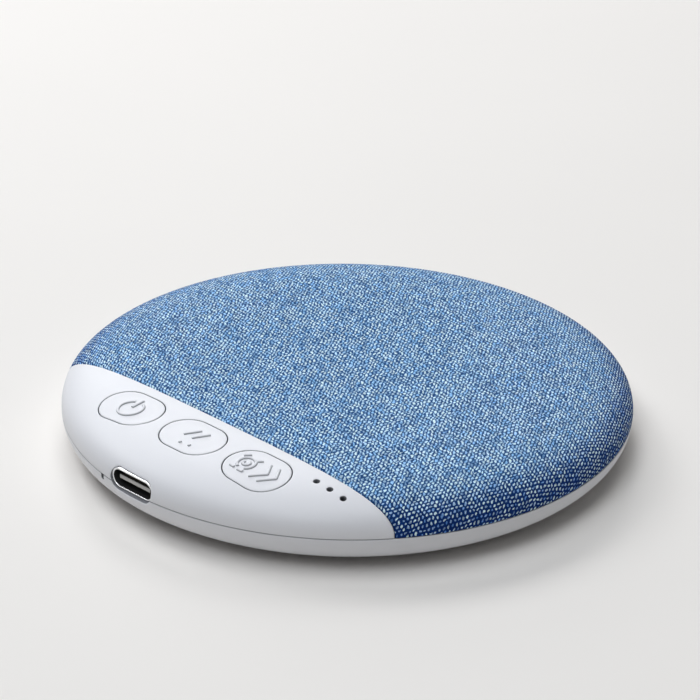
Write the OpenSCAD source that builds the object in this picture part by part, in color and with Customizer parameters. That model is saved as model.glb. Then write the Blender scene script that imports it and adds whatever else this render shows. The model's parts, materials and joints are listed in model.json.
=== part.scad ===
// Flat round sound machine: a cloth-covered speaker, three flush keys and a USB-C socket.
// Millimetres. It stands on Z = 0, and its control panel and socket face -Y.

/* [Housing] */
// Outer radius, measured at the seam
body_r = 45; // [44:0.5:50]
// Height of the air gap under the lower shell
foot_gap = 0.6; // [0.4:0.1:1]
// Height of the lower shell from its flat bottom to the seam
bowl_h = 5.5; // [5.3:0.1:6]
// Width of the rounded edge of the lower shell
bowl_round = 7; // [6:0.5:8]
// Wall and floor of the lower shell
bowl_wall = 1.8; // [1.4:0.1:1.9]
// Height of the domed top above the seam
dome_h = 5.8; // [5.7:0.1:6.4]
// How flat the dome stays before it turns down, seen from above
dome_flatness = 7.2; // [5:0.2:9]
// How square the shoulder of the dome is
dome_shoulder = 2.44; // [2:0.02:3]
// Wall of the top shell under the cloth
top_wall = 1.3; // [1.1:0.1:1.5]
// Depth of the control panel, from the front rim to its straight edge
panel_depth = 17.85; // [17:0.05:18]

/* [Cloth] */
// Thickness of the cloth cover
cloth_t = 0.6; // [0.4:0.1:0.8]
// Gap between the cut edge of the cloth and the panel
cloth_gap = 0.08; // [0.05:0.01:0.1]
// Width of the groove that the cloth's straight edge is tucked into
tuck_w = 0.8; // [0.6:0.05:1]
// Depth of that groove below the cloth
tuck_depth = 0.5; // [0.3:0.05:0.6]
// Radius of one sound hole under the cloth
sound_hole_r = 0.7; // [0.5:0.05:0.8]
// Margin between the outer ring of sound holes and the speaker's edge
sound_margin = 5; // [4.8:0.1:6]
// Number of rings of sound holes round the middle one
sound_rings = 5; // [3:1:5]

/* [Rim] */
// Width of the lower shell's rim outside the locating ring
rim_w = 1.5; // [1.4:0.1:1.6]
// Thickness of the locating ring
tongue_t = 1; // [0.8:0.1:1.1]
// Depth of the locating ring below the seam
tongue_depth = 1.2; // [0.9:0.1:1.4]
// Gap round the locating ring
tongue_gap = 0.1; // [0.05:0.01:0.15]
// How far the snap beads stand out of the locating ring
bead_out = 0.25; // [0.15:0.05:0.3]
// Length of a snap bead
bead_l = 9; // [6:0.5:12]

/* [Keys] */
// Radius of a key's round ends
key_r = 4.05; // [3.8:0.05:4.2]
// Length of the straight part between the round ends
key_straight = 3; // [2.6:0.1:3.2]
// Distance between neighbouring keys
key_pitch = 13.7; // [13.5:0.1:14.2]
// Place of the middle key across the panel
key_middle_x = 0.2; // [-1:0.1:1]
// Distance from the front rim to the row of keys
key_from_rim = 11.6; // [11.2:0.1:12]
// Gap between a key and its opening
key_gap = 0.15; // [0.1:0.01:0.2]
// Wall of a hollow key
key_wall = 1.1; // [0.9:0.1:1.3]
// Width and thickness of the flange that holds a key in
key_flange = 0.8; // [0.7:0.05:0.85]
// Gap between the flange and the underside of the panel
key_lift = 0.1; // [0.05:0.01:0.2]
// Radius of the post under a key
key_post_r = 1.2; // [1:0.1:1.5]
// How far a key goes down when it is pressed
key_travel = 0.25; // [0.2:0.05:0.3]
// Clearance left between a pressed key and the socket in front of it
key_relief = 0.25; // [0.2:0.05:0.3]

/* [Push switches] */
// Side of a switch housing
switch_w = 4.5; // [4:0.1:5]
// Height of a switch housing
switch_h = 1.6; // [1.4:0.1:1.7]
// Radius of a switch plunger
plunger_r = 1; // [0.8:0.05:1.2]
// How far the plunger stands out of its housing
plunger_out = 0.4; // [0.3:0.05:0.5]
// Length of the plunger inside its housing
plunger_in = 0.6; // [0.4:0.05:0.8]
// Depth of free travel under the plunger
plunger_room = 0.35; // [0.3:0.05:0.4]
// Gap round the plunger
plunger_gap = 0.05; // [0.03:0.01:0.1]

/* [Indicator lights] */
// Radius of a light hole in the panel
light_hole_r = 0.5; // [0.4:0.05:0.6]
// Distance between light holes
light_pitch = 2.7; // [2.6:0.05:2.8]
// Distance from the last key to the middle light hole
light_beside_key = 11.25; // [11.1:0.05:11.4]
// How far the row of light holes lies behind the row of keys
light_behind_key = 3.8; // [3.6:0.05:4]
// Radius of a light well in the shroud
light_well_r = 0.75; // [0.7:0.01:0.8]
// Width of the shroud
shroud_w = 7.6; // [7.4:0.1:7.8]
// Depth of the shroud, front to back
shroud_d = 2; // [1.9:0.05:2.2]

/* [USB-C socket] */
// Place of the socket across the front
usb_x = -1.45; // [-2:0.05:0]
// Width of the metal shell
usb_w = 8.94; // [8.94:0.01:9]
// Height of the metal shell
usb_h = 3.26; // [3.2:0.01:3.3]
// Length of the metal shell
usb_l = 7.3; // [7:0.05:8]
// Thickness of the metal shell
usb_wall = 0.3; // [0.2:0.05:0.35]
// Height of the socket's axis above the seam
usb_rise = 0.85; // [0.8:0.05:0.95]
// How far the socket's mouth lies inside the outer radius
usb_inset = 0.55; // [0.5:0.05:0.8]
// Gap between the metal shell and the housing
port_gap = 0.15; // [0.1:0.01:0.25]
// Width of the contact blade
blade_w = 6.7; // [6.6:0.05:6.8]
// Thickness of the contact blade
blade_t = 0.7; // [0.6:0.05:0.8]
// How far the blade lies inside the mouth
blade_inset = 0.7; // [0.6:0.05:0.9]
// Length of the plastic block behind the blade
usb_block = 1.8; // [1.5:0.1:2]

/* [Charge light] */
// Place of the slot across the front
slot_x = -8.2; // [-8.6:0.05:-8]
// Width of the slot
slot_w = 0.5; // [0.4:0.05:0.6]
// Height of the slot below the seam
slot_h = 0.8; // [0.6:0.05:1]

/* [Main board] */
// Thickness of the board
board_t = 1; // [0.8:0.1:1.2]
// Gap between the board and the locating ring
board_gap = 0.85; // [0.7:0.05:1]
// Depth of the board, from the front rim to its back edge
board_depth = 31; // [30.5:0.1:31.2]
// Radius of a board post
post_r = 2.3; // [2:0.1:2.4]
// Radius of the plain posts that back the board under the keys
stay_r = 1.2; // [1:0.1:1.5]

/* [Screws] */
// Radius of a screw's shank
screw_r = 1; // [0.9:0.05:1.05]
// Radius of a screw's head
screw_head_r = 1.85; // [1.7:0.05:1.9]
// Height of a screw's head
screw_head_h = 1.1; // [0.9:0.05:1.15]
// Length of a case screw below its head
case_screw_l = 6; // [5.5:0.1:6.3]
// Length of a board screw below its head
board_screw_l = 2.5; // [2.3:0.1:2.7]
// Gap between a screw and the hole that it is driven into
thread_gap = 0.02; // [0.02:0.01:0.05]
// Gap round a screw where it passes freely
screw_free = 0.2; // [0.15:0.05:0.3]

/* [Feet and case bosses] */
// Distance from the rim to the middle of each foot
foot_from_rim = 12.5; // [12:0.1:13]
// Radius of a foot
foot_r = 4.5; // [4.2:0.1:4.6]
// Depth of the recess that holds a foot
foot_sink = 0.6; // [0.5:0.05:0.7]
// Slanted lower edge of a rubber foot
foot_edge = 0.25; // [0.1:0.05:0.4]
// Gap round a foot
foot_side_gap = 0.1; // [0.05:0.01:0.2]
// Radius of a boss in the lower shell
boss_r = 3.4; // [3.2:0.1:3.5]
// Radius of a boss in the top shell
top_boss_r = 2.8; // [2.4:0.1:2.9]
// Radius of the well for a screw's head
head_well_r = 2.3; // [2.1:0.05:2.4]
// Plastic between a foot's recess and the seat of the screw's head
head_well_h = 1.4; // [1.3:0.05:1.5]
// How far a lower boss rises above the board
boss_above_board = 0.6; // [0.4:0.1:0.8]
// Gap between a boss and the board
boss_board_gap = 0.3; // [0.2:0.05:0.4]

/* [Speaker] */
// Place of the speaker across the body
speaker_x = 5; // [4.5:0.1:6]
// Place of the speaker towards the back
speaker_y = 6.5; // [6:0.1:7.5]
// Outer radius of the speaker's frame
speaker_r = 16; // [15.5:0.1:17]
// Height of the speaker from the yoke to the flange
speaker_h = 4.6; // [4.4:0.1:4.7]
// Thickness of the sheet-steel frame
frame_t = 0.5; // [0.4:0.05:0.6]
// Width of the frame's flange
flange_w = 2.2; // [2.1:0.05:2.3]
// Thickness of the sealing gasket
gasket_t = 0.5; // [0.4:0.05:0.6]
// Air between the gasket's seat and the inside of the top
speaker_drop = 0.65; // [0.6:0.05:0.75]
// Width of the wall that locates the speaker
locator_w = 0.8; // [0.6:0.1:0.9]
// Gap between the speaker and its locating wall
locator_gap = 0.2; // [0.15:0.05:0.3]
// Outer radius of the yoke
yoke_r = 8.5; // [8.3:0.1:8.8]
// Wall of the yoke
yoke_wall = 1.2; // [1:0.1:1.3]
// Thickness of the yoke's floor
yoke_floor = 0.8; // [0.7:0.05:0.9]
// Radius of the magnet
magnet_r = 5.6; // [5.3:0.1:5.7]
// Thickness of the magnet
magnet_h = 1.2; // [1.1:0.05:1.3]
// Radius of the plate on the magnet
plate_r = 5.8; // [5.6:0.05:5.9]
// Thickness of the plate on the magnet
plate_h = 0.65; // [0.6:0.05:0.7]
// Inner radius of the voice coil
coil_r = 6.3; // [6.2:0.05:6.4]
// Thickness of the voice coil
coil_t = 0.4; // [0.3:0.05:0.45]
// Gap between the voice coil and the yoke's floor
coil_room = 0.5; // [0.45:0.05:0.6]
// Thickness of the cone
cone_t = 0.25; // [0.2:0.05:0.3]
// Width of the surround's roll
roll_w = 2; // [1.8:0.1:2.1]
// Height of the surround's roll
roll_h = 0.55; // [0.4:0.05:0.6]

/* [Battery] */
// Width of the cell
cell_w = 22; // [20:0.5:22]
// Length of the cell
cell_l = 23; // [21:0.5:25]
// Thickness of the cell
cell_h = 4.3; // [4:0.1:4.4]
// Distance from the side rim to the cell
cell_from_rim = 10.5; // [10.3:0.1:11]
// Distance from the board to the cell
cell_behind_board = 2.5; // [2:0.1:3]
// Thickness of the adhesive pad under the cell
cell_pad_t = 0.3; // [0.2:0.05:0.4]
// Margin of the cell round its adhesive pad
cell_pad_margin = 2; // [1:0.1:3]
// Thickness of the tray's walls
tray_t = 1; // [0.8:0.1:1.1]
// Height of the tray's walls
tray_h = 2.6; // [2.2:0.1:3]
// Gap between the cell and the tray
tray_gap = 0.3; // [0.2:0.05:0.4]

/* [Leads] */
// Radius of an insulated lead
lead_r = 0.4; // [0.35:0.05:0.45]
// Distance between the two leads of a pair
lead_pitch = 1.6; // [1.4:0.1:1.8]

/* [Hidden] */

eps = 0.01;
profile_step = 4;
round_fn = 64;
big = 2 * body_r + 20;

// Heights
seam_z = foot_gap + bowl_h;
floor_z = foot_gap + bowl_wall;
top_z = seam_z + dome_h;
usb_z = seam_z + usb_rise;
board_top = usb_z - usb_h / 2;
board_bottom = board_top - board_t;
switch_top = board_top + switch_h;
plunger_top = switch_top + plunger_out;
boss_top = board_top + boss_above_board;
head_seat = foot_gap + foot_sink + head_well_h;

// The inside of the top shell follows the outside at this inset
skin = cloth_t + top_wall;
speaker_seat = top_z - skin - speaker_drop;
speaker_top = speaker_seat - gasket_t;
speaker_bottom = speaker_top - speaker_h;
magnet_z = speaker_bottom + yoke_floor;
plate_z = magnet_z + magnet_h;
plate_top = plate_z + plate_h;
coil_z = magnet_z + coil_room;
cell_z = floor_z + cell_pad_t;

// Radii and places
bowl_flat_r = body_r - bowl_round;
panel_edge = body_r - panel_depth;
key_row = body_r - key_from_rim;
board_back = body_r - board_depth;
foot_ring = body_r - foot_from_rim;
cell_x = cell_w / 2 + cell_from_rim - body_r;
cell_y = cell_l / 2 + cell_behind_board - board_back;
tongue_out = body_r - rim_w - tongue_gap;
tongue_in = tongue_out - tongue_t;
board_r = tongue_in - board_gap;
usb_front = -(body_r - usb_inset);
usb_back = usb_front + usb_l;
key_places = [for (i = [-1:1]) [key_middle_x + i * key_pitch, -key_row]];
light_x = key_places[2][0] + light_beside_key;
light_row = key_row - light_behind_key;
light_places = [for (i = [-1:1]) [light_x + i * light_pitch, -light_row]];
foot_places = [for (y = [-1, 1]) for (x = [-1, 1]) [x, y] * foot_ring * sqrt(0.5)];

// Board posts, with screws: left of the keys, beside the front right foot, and behind the keys
post_left = [10, 2.4];
post_right = [6.5, 7.9];
post_back = [2.2, 3.5];
board_posts = [
    [key_places[0][0] - post_left[0], -key_row + post_left[1]],
    [foot_places[1][0] - post_right[0], -key_row + post_right[1]],
    [key_middle_x - post_back[0], -board_back - post_back[1]]
];

// Plain posts under the board between the keys
stay_ahead = 4;
board_stays = [for (i = [-0.5, 0.5]) [key_middle_x + i * key_pitch, -key_row - stay_ahead]];

// Small sizes of the housing
root_w = 0.4;
root_h = 1;
pad_fence_h = 1;
tray_opening = 8;
lead_side = -6;
bead_z = seam_z - tongue_depth / 2;
bead_half = 0.3;
bead_play = 0.1;
fin_l = 1.6;
fin_w = 0.8;
fin_h = 1.2;

// Screw drive: a cross of two slots
drive_l = 1.1;
drive_w = 0.35;
drive_h = 0.6;

// Legs of switches and chips
leg_out = 0.7;
leg_w = 0.8;
leg_t = 0.2;
leg_share = 0.33;
chip_lift = 0.15;

// Chips: place, size and number of legs on a side
sound_chip_at = [key_places[0][0] + 3.5, -board_back - 8];
sound_chip_size = [7, 6, 1.2];
sound_chip_legs = 8;
amplifier_at = [key_places[2][0] - 5.9, -board_back - 6];
amplifier_size = [5, 4, 1.4];
amplifier_legs = 4;
charger_at = [key_middle_x + key_pitch / 2, -key_row - 0.6];
charger_size = [3, 1.8, 1.1];
charger_legs = 3;

// Row of small resistors and capacitors near the back edge of the board
small_part_size = [1.6, 0.8, 0.6];
small_part_pitch = 2.4;
small_part_count = 5;
small_parts_at = [key_middle_x + 3, -board_back - 2.4];

// Tabs of the USB-C shell in the board, and the play of its blade
tab_gap = 0.1;
tab_l = 1;
tab_drop = usb_h / 2 + 0.8;
usb_tab_places = [4, 6.3];
blade_back_gap = 0.05;
blade_side_gap = 0.02;

// Lights
charge_light_row = body_r - 4.8;
lamp_w = 1;
lamp_d = 0.6;
lamp_h = 0.4;
shroud_gap = 0.1;

// Lead sockets on the board, and the routes of the leads
socket_wall = 0.5;
battery_socket_size = [5.5, 4, 2.8];
speaker_socket_size = [5, 3.5, 2.5];
battery_socket_at = [cell_x - 8, -board_back - 4];
speaker_socket_at = [speaker_x + 21, -board_back - 2.2];
lead_end = [0, 1, 1.3];
lead_bow = 1.2;
speaker_lead_angle = -48;

// Speaker details
gasket_w = 1.3;
pad_r = 7;
window_r = 1.3;
window_count = 6;
hub_w = 2;
surround_t = 0.2;
surround_land = 0.8;
rim_r = speaker_r - flange_w;
cone_r = rim_r - roll_w + surround_t;
cone_low = plate_top + 0.85;
cone_high = speaker_top - 0.02;
cap_rise = 0.7;
sound_hole_pitch = (speaker_r - sound_margin) / sound_rings;

white = [0.93, 0.93, 0.94];
cloth_blue = [0.3, 0.46, 0.68];
steel = [0.72, 0.72, 0.74];
dark = [0.12, 0.12, 0.13];
board_green = [0.1, 0.35, 0.2];

// Profiles --------------------------------------------------------------

// Points of the domed top from its crown to the seam, with everything moved in by inset
function dome_points(inset) = [
    for (t = [0:profile_step:90])
        [(body_r - inset) * pow(sin(t), 2 / dome_flatness),
         seam_z + (dome_h - inset) * pow(max(cos(t), 0), 2 / dome_shoulder)],
    [body_r - inset, seam_z]
];

// Points of the bowl from its flat bottom up to the seam, with the wall inset
function bowl_points(inset) = [
    for (t = [0:2 * profile_step:88])
        [bowl_flat_r + (bowl_round - inset) * sin(t), seam_z - (bowl_h - inset) * cos(t)],
    [body_r - inset, seam_z]
];

// The domed solid, inset all over and reaching down below the seam
module dome(inset = 0, below = 0) {
    rotate_extrude($fn = 4 * round_fn)
        polygon(concat([[0, seam_z - below]], dome_points(inset),
                       below > 0 ? [[body_r - inset, seam_z - below]] : []));
}

// The bowl-shaped solid, inset all over and reaching up above the seam
module bowl(inset = 0, above = 0) {
    rotate_extrude($fn = 4 * round_fn)
        polygon(concat([[0, seam_z - bowl_h + inset]], bowl_points(inset),
                       above > 0 ? [[body_r - inset, seam_z + above]] : [],
                       [[0, seam_z + above]]));
}

// A ring with a square section
module ring(r_in, r_out, z, h) {
    translate([0, 0, z])
        difference() {
            cylinder(r = r_out, h = h, $fn = 2 * round_fn);
            translate([0, 0, -1])
                cylinder(r = r_in, h = h + 2, $fn = 2 * round_fn);
        }
}

// An upright cylinder between two heights
module peg(r, z, z_end) {
    translate([0, 0, z])
        cylinder(r = r, h = z_end - z, $fn = round_fn);
}

// The outline of a pill, with round ends of radius r and a straight part between them
module pill(r, straight) {
    for (side = [-1, 1])
        translate([side * straight / 2, 0])
            circle(r = r, $fn = round_fn);
    square([straight, 2 * r], center = true);
}

// A pill standing upright at one of the keys
module key_prism(place, grow = 0) {
    translate([place[0], place[1], seam_z - bowl_h])
        linear_extrude(height = bowl_h + dome_h + 1)
            pill(key_r + grow, key_straight);
}

// A pill lying along the socket's axis, from y to y_end
module port_prism(grow, y, y_end) {
    translate([usb_x, y_end, usb_z])
        rotate([90, 0, 0])
            linear_extrude(height = y_end - y)
                pill(usb_h / 2 + grow, usb_w - usb_h);
}

// The side of the body that the cloth covers, from y on
module behind(y) {
    translate([-big / 2, y, 0])
        cube([big, big, 2 * top_z]);
}

// The strip of the dome that the cloth's straight edge is tucked into
module tuck_strip(gap = 0) {
    intersection() {
        dome();
        translate([-big / 2, -panel_edge + gap, seam_z])
            cube([big, tuck_w - 2 * gap, 2 * dome_h]);
    }
}

// The slot in the rim in front of the charge light
module charge_slot() {
    translate([slot_x - slot_w / 2, -body_r - 1, seam_z - slot_h])
        cube([slot_w, body_r - tongue_in + 2, slot_h + eps]);
}

// A round tube swept through a list of points
module tube(path, r, sides = 8) {
    count = len(path);
    rings = [
        for (i = [0:count - 1])
            let (ahead = path[min(i + 1, count - 1)] - path[max(i - 1, 0)],
                 along = ahead / norm(ahead),
                 flat = cross(along, [0, 0, 1]),
                 across = flat / norm(flat),
                 up = cross(across, along))
                for (k = [0:sides - 1])
                    path[i] + r * (cos(360 * k / sides) * across + sin(360 * k / sides) * up)
    ];
    walls = [
        for (i = [0:count - 2]) for (k = [0:sides - 1])
            [i * sides + k, i * sides + (k + 1) % sides,
             (i + 1) * sides + (k + 1) % sides, (i + 1) * sides + k]
    ];
    first = [for (k = [sides - 1:-1:0]) k];
    last = [for (k = [0:sides - 1]) (count - 1) * sides + k];
    polyhedron(points = rings, faces = concat(walls, [first, last]));
}

// Housing ---------------------------------------------------------------

module lower_shell() {
    color(white)
        difference() {
            union() {
                difference() {
                    bowl();
                    bowl(bowl_wall, 1);
                    peg(tongue_out + tongue_gap, seam_z - tongue_depth - tongue_gap, seam_z + 1);
                    snap_ring(bead_play);
                }
                intersection() {
                    lower_shell_bosses();
                    bowl(bowl_wall / 2, dome_h);
                }
            }
            for (place = foot_places)
                translate(place) {
                    peg(foot_r + foot_side_gap, -1, foot_gap + foot_sink);
                    peg(head_well_r, 0, head_seat);
                    peg(screw_r + screw_free, 0, boss_top + 1);
                }
            for (place = board_posts)
                translate(place)
                    peg(screw_r + thread_gap, board_top - board_screw_l - screw_free, board_bottom + 1);
            port_prism(port_gap, -body_r - 1, usb_back);
            charge_slot();
        }
}

module lower_shell_bosses() {
    for (place = foot_places)
        translate(place) {
            peg(boss_r, foot_gap, boss_top);
            for (side = [-1, 1])
                translate([side * (boss_r + fin_l / 2), 0, floor_z + fin_h / 2])
                    cube([fin_l + 1, fin_w, fin_h + 1], center = true);
        }
    for (place = board_posts)
        translate(place)
            peg(post_r, foot_gap, board_bottom);
    for (place = board_stays)
        translate(place)
            peg(stay_r, foot_gap, board_bottom);
    battery_tray();
    translate([speaker_x, speaker_y])
        ring(pad_r + locator_gap, pad_r + locator_gap + locator_w, floor_z - eps, pad_fence_h);
}

// A low V-shaped ring on the locating ring, or the groove for it
module snap_ring(play = 0) {
    rotate_extrude($fn = 4 * round_fn)
        polygon([
            [tongue_out - bead_half, bead_z - bead_half - play],
            [tongue_out + bead_out + play, bead_z],
            [tongue_out - bead_half, bead_z + bead_half + play]
        ]);
}

// Four low walls with open corners round the battery
module battery_tray() {
    inner = [cell_w + 2 * tray_gap, cell_l + 2 * tray_gap];
    translate([cell_x, cell_y, floor_z - eps])
        linear_extrude(height = tray_h)
            difference() {
                square(inner + 2 * [tray_t, tray_t], center = true);
                square(inner, center = true);
                square([inner[0] + big, tray_opening], center = true);
                translate([lead_side, -inner[1] / 2])
                    square([tray_opening, 4 * tray_t], center = true);
            }
}

module top_shell() {
    color(white)
        difference() {
            union() {
                difference() {
                    union() {
                        difference() {
                            dome();
                            behind(-panel_edge);
                        }
                        dome(cloth_t);
                    }
                    dome(skin, 1);
                }
                difference() {
                    locating_ring();
                    ring_break();
                }
                snap_beads();
                intersection() {
                    top_shell_bosses();
                    dome(cloth_t + top_wall / 2, bowl_h);
                }
            }
            for (place = foot_places)
                translate(place)
                    peg(screw_r + thread_gap, boss_top - 1, head_seat + case_screw_l + screw_free);
            for (place = key_places)
                key_prism(place, key_gap);
            for (place = light_places)
                translate(place)
                    peg(light_hole_r, seam_z, top_z + 1);
            sound_holes();
            difference() {
                tuck_strip();
                dome(cloth_t + tuck_depth, 1);
            }
            port_prism(port_gap, -body_r - 1, usb_back);
            charge_slot();
        }
}

// The ring that slips inside the lower shell's rim
module locating_ring() {
    rotate_extrude($fn = 4 * round_fn)
        polygon([
            [tongue_in, seam_z - tongue_depth],
            [tongue_out, seam_z - tongue_depth],
            [tongue_out, seam_z],
            [tongue_out + root_w, seam_z],
            [tongue_out + root_w, seam_z + root_h],
            [tongue_in, seam_z + root_h]
        ]);
}

// Beads on the two sides and at the back
module snap_beads() {
    intersection() {
        snap_ring();
        union() {
            translate([-big / 2, -bead_l / 2, 0])
                cube([big, bead_l, seam_z]);
            translate([-bead_l / 2, 0, 0])
                cube([bead_l, big, seam_z]);
        }
    }
}

// The locating ring stops on both sides of the socket
module ring_break() {
    w = usb_w + 2 * port_gap;
    translate([usb_x - w / 2, -body_r, seam_z - 2 * tongue_depth])
        cube([w, body_r - tongue_in + 2, 2 * tongue_depth]);
}

module top_shell_bosses() {
    for (place = foot_places)
        translate(place)
            peg(top_boss_r, boss_top, top_z);
    translate([speaker_x, speaker_y]) {
        ring(speaker_r - gasket_w, speaker_r + locator_gap + locator_w, speaker_seat, dome_h);
        ring(speaker_r + locator_gap, speaker_r + locator_gap + locator_w, speaker_top - frame_t, dome_h);
    }
}

// Rings of holes over the cone, six more holes in each ring
module sound_holes() {
    translate([speaker_x, speaker_y])
        for (ring_number = [0:sound_rings])
            for (i = [0:max(6 * ring_number - 1, 0)])
                rotate(i * 360 / max(6 * ring_number, 1))
                    translate([ring_number * sound_hole_pitch, 0])
                        peg(sound_hole_r, speaker_seat, top_z + 1);
}

module cloth_cover() {
    color(cloth_blue)
        union() {
            difference() {
                intersection() {
                    dome();
                    behind(-panel_edge + cloth_gap);
                }
                dome(cloth_t, 1);
            }
            difference() {
                tuck_strip(cloth_gap);
                dome(cloth_t + tuck_depth - cloth_gap, 1);
            }
        }
}

// Keys and switches -------------------------------------------------------

// Room in the keys for the back end of the socket, also when a key is down
module socket_relief() {
    w = usb_w + 2 * key_relief;
    translate([usb_x - w / 2, -body_r, 0])
        cube([w, body_r + usb_back + key_relief, usb_z + usb_h / 2 + key_travel + key_relief]);
}

// A hollow pill-shaped cap with a flange under the panel and a post on the switch
module key(place) {
    color(white) {
        difference() {
            union() {
                intersection() {
                    key_prism(place);
                    dome();
                }
                intersection() {
                    key_prism(place, key_flange);
                    dome(skin + key_lift);
                }
            }
            dome(skin + key_lift + key_flange, 1);
            intersection() {
                key_prism(place, -key_wall);
                dome(key_wall, 1);
            }
            socket_relief();
        }
        intersection() {
            translate(place)
                peg(key_post_r, plunger_top, top_z);
            dome(key_wall / 2);
        }
    }
}

// A square surface-mount housing with four flat legs and a round well for its plunger
module push_switch(place) {
    color(dark)
        difference() {
            translate([place[0], place[1], board_top]) {
                translate([-switch_w / 2, -switch_w / 2, 0])
                    cube([switch_w, switch_w, switch_h]);
                for (x = [-1, 1])
                    for (y = [-1, 1])
                        translate([x * (switch_w / 2 + leg_out / 2), y * switch_w * leg_share, leg_t / 2])
                            cube([leg_out + 2 * eps, leg_w, leg_t], center = true);
            }
            translate(place)
                peg(plunger_r + plunger_gap, switch_top - plunger_in - plunger_room, switch_top + 1);
        }
}

module plunger(place) {
    color(white)
        translate(place)
            peg(plunger_r, switch_top - plunger_in, plunger_top);
}

// Board and what is soldered to it ----------------------------------------

module main_board() {
    color(board_green)
        difference() {
            peg(board_r, board_bottom, board_top);
            behind(-board_back);
            for (place = foot_places)
                translate(place)
                    peg(boss_r + boss_board_gap, 0, top_z);
            for (place = board_posts)
                translate(place)
                    peg(screw_r + screw_free, 0, top_z);
            usb_tabs(tab_gap);
        }
}

// The four legs of the socket's shell, which stand in slots in the board
module usb_tabs(grow = 0) {
    for (x = [-1, 1])
        for (y = usb_tab_places)
            translate([usb_x + x * (usb_w - usb_wall) / 2, usb_front + y, usb_z - tab_drop / 2])
                cube([usb_wall + 2 * grow, tab_l + 2 * grow, tab_drop + 2 * grow], center = true);
}

module usb_shell() {
    color(steel)
        difference() {
            union() {
                port_prism(0, usb_front, usb_back);
                usb_tabs();
            }
            port_prism(-usb_wall, usb_front - 1, usb_back - usb_wall);
        }
}

module usb_blade() {
    color(dark)
        union() {
            translate([usb_x - blade_w / 2, usb_front + blade_inset, usb_z - blade_t / 2])
                cube([blade_w, usb_l - blade_inset - usb_wall - blade_back_gap, blade_t]);
            port_prism(-usb_wall - blade_side_gap, usb_back - usb_wall - blade_back_gap - usb_block,
                       usb_back - usb_wall - blade_back_gap);
        }
}

module charge_light() {
    color("white")
        translate([slot_x, -charge_light_row, board_top + lamp_h / 2])
            cube([lamp_w, lamp_d, lamp_h], center = true);
}

module light_shroud() {
    color(dark)
        difference() {
            intersection() {
                translate([light_x - shroud_w / 2, -light_row - shroud_d / 2, board_top])
                    cube([shroud_w, shroud_d, dome_h]);
                dome(skin + shroud_gap, bowl_h);
                peg(board_r, board_top - 1, top_z);
            }
            for (place = light_places)
                translate(place)
                    peg(light_well_r, board_top - 1, top_z);
        }
}

module indicator_light(place) {
    color("white")
        translate([place[0], place[1], board_top + lamp_h / 2])
            cube([lamp_w, lamp_d, lamp_h], center = true);
}

// A flat chip with a row of legs along two sides
module chip(place, size, legs) {
    leg_pitch = size[0] / legs;
    translate([place[0], place[1], board_top]) {
        color(dark)
            translate([-size[0] / 2, -size[1] / 2, chip_lift])
                cube([size[0], size[1], size[2] - chip_lift]);
        color(steel)
            for (side = [-1, 1])
                for (i = [0:legs - 1])
                    translate([(i - (legs - 1) / 2) * leg_pitch, side * size[1] / 2, (chip_lift + leg_t) / 2])
                        cube([leg_pitch / 2, 2 * leg_w, chip_lift + leg_t], center = true);
    }
}

module small_parts() {
    color("tan")
        for (i = [0:small_part_count - 1])
            translate([small_parts_at[0] + i * small_part_pitch, small_parts_at[1],
                       board_top + small_part_size[2] / 2])
                cube(small_part_size, center = true);
}

// A board connector, open at the back where the leads go in
module lead_socket(place, size) {
    color("ivory")
        translate([place[0] - size[0] / 2, place[1] - size[1] / 2, board_top])
            difference() {
                cube(size);
                translate([socket_wall, socket_wall, socket_wall])
                    cube([size[0] - 2 * socket_wall, size[1], size[2] - 2 * socket_wall]);
            }
}

// Two leads side by side along one route
module lead_pair(route, shift) {
    for (side = [-1, 1])
        color(side < 0 ? "red" : dark)
            tube([for (p = route) p + side * shift / 2], lead_r);
}

module screw(place, seat, length, up) {
    color(steel)
        translate([place[0], place[1], seat])
            mirror([0, 0, up ? 0 : 1]) {
                translate([0, 0, -screw_head_h])
                    difference() {
                        cylinder(r = screw_head_r, h = screw_head_h, $fn = round_fn);
                        for (a = [0, 90])
                            rotate(a)
                                cube([2 * drive_l, drive_w, 2 * drive_h], center = true);
                    }
                translate([0, 0, -eps])
                    cylinder(r = screw_r, h = length + eps, $fn = round_fn);
            }
}

module case_screws() {
    for (place = foot_places)
        screw(place, head_seat, case_screw_l, true);
}

module board_screws() {
    for (place = board_posts)
        screw(place, board_top, board_screw_l, false);
}

module foot(place) {
    color([0.2, 0.2, 0.21])
        translate(place)
            rotate_extrude($fn = round_fn)
                polygon([
                    [0, 0],
                    [foot_r - foot_edge, 0],
                    [foot_r, foot_edge],
                    [foot_r, foot_gap + foot_sink],
                    [0, foot_gap + foot_sink]
                ]);
}

// Battery -------------------------------------------------------------------

module battery_cell() {
    color([0.78, 0.8, 0.83])
        translate([cell_x, cell_y, cell_z + cell_h / 2])
            cube([cell_w, cell_l, cell_h], center = true);
}

module battery_pad() {
    color("black")
        translate([cell_x, cell_y, floor_z + cell_pad_t / 2])
            cube([cell_w - 2 * cell_pad_margin, cell_l - 2 * cell_pad_margin, cell_pad_t], center = true);
}

// From the front end of the cell, up over the board's edge and into the socket
module battery_leads() {
    start = [cell_x + lead_side - lead_pitch, cell_y - cell_l / 2 - lead_r / 2, cell_z + cell_h / 2];
    end = [battery_socket_at[0], battery_socket_at[1], board_top] + lead_end;
    lead_pair([
        start,
        start + [-lead_bow / 6, -lead_bow, lead_bow / 3],
        [end[0], -board_back, end[2] + lead_r / 2],
        end
    ], [lead_pitch, 0, 0]);
}

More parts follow.
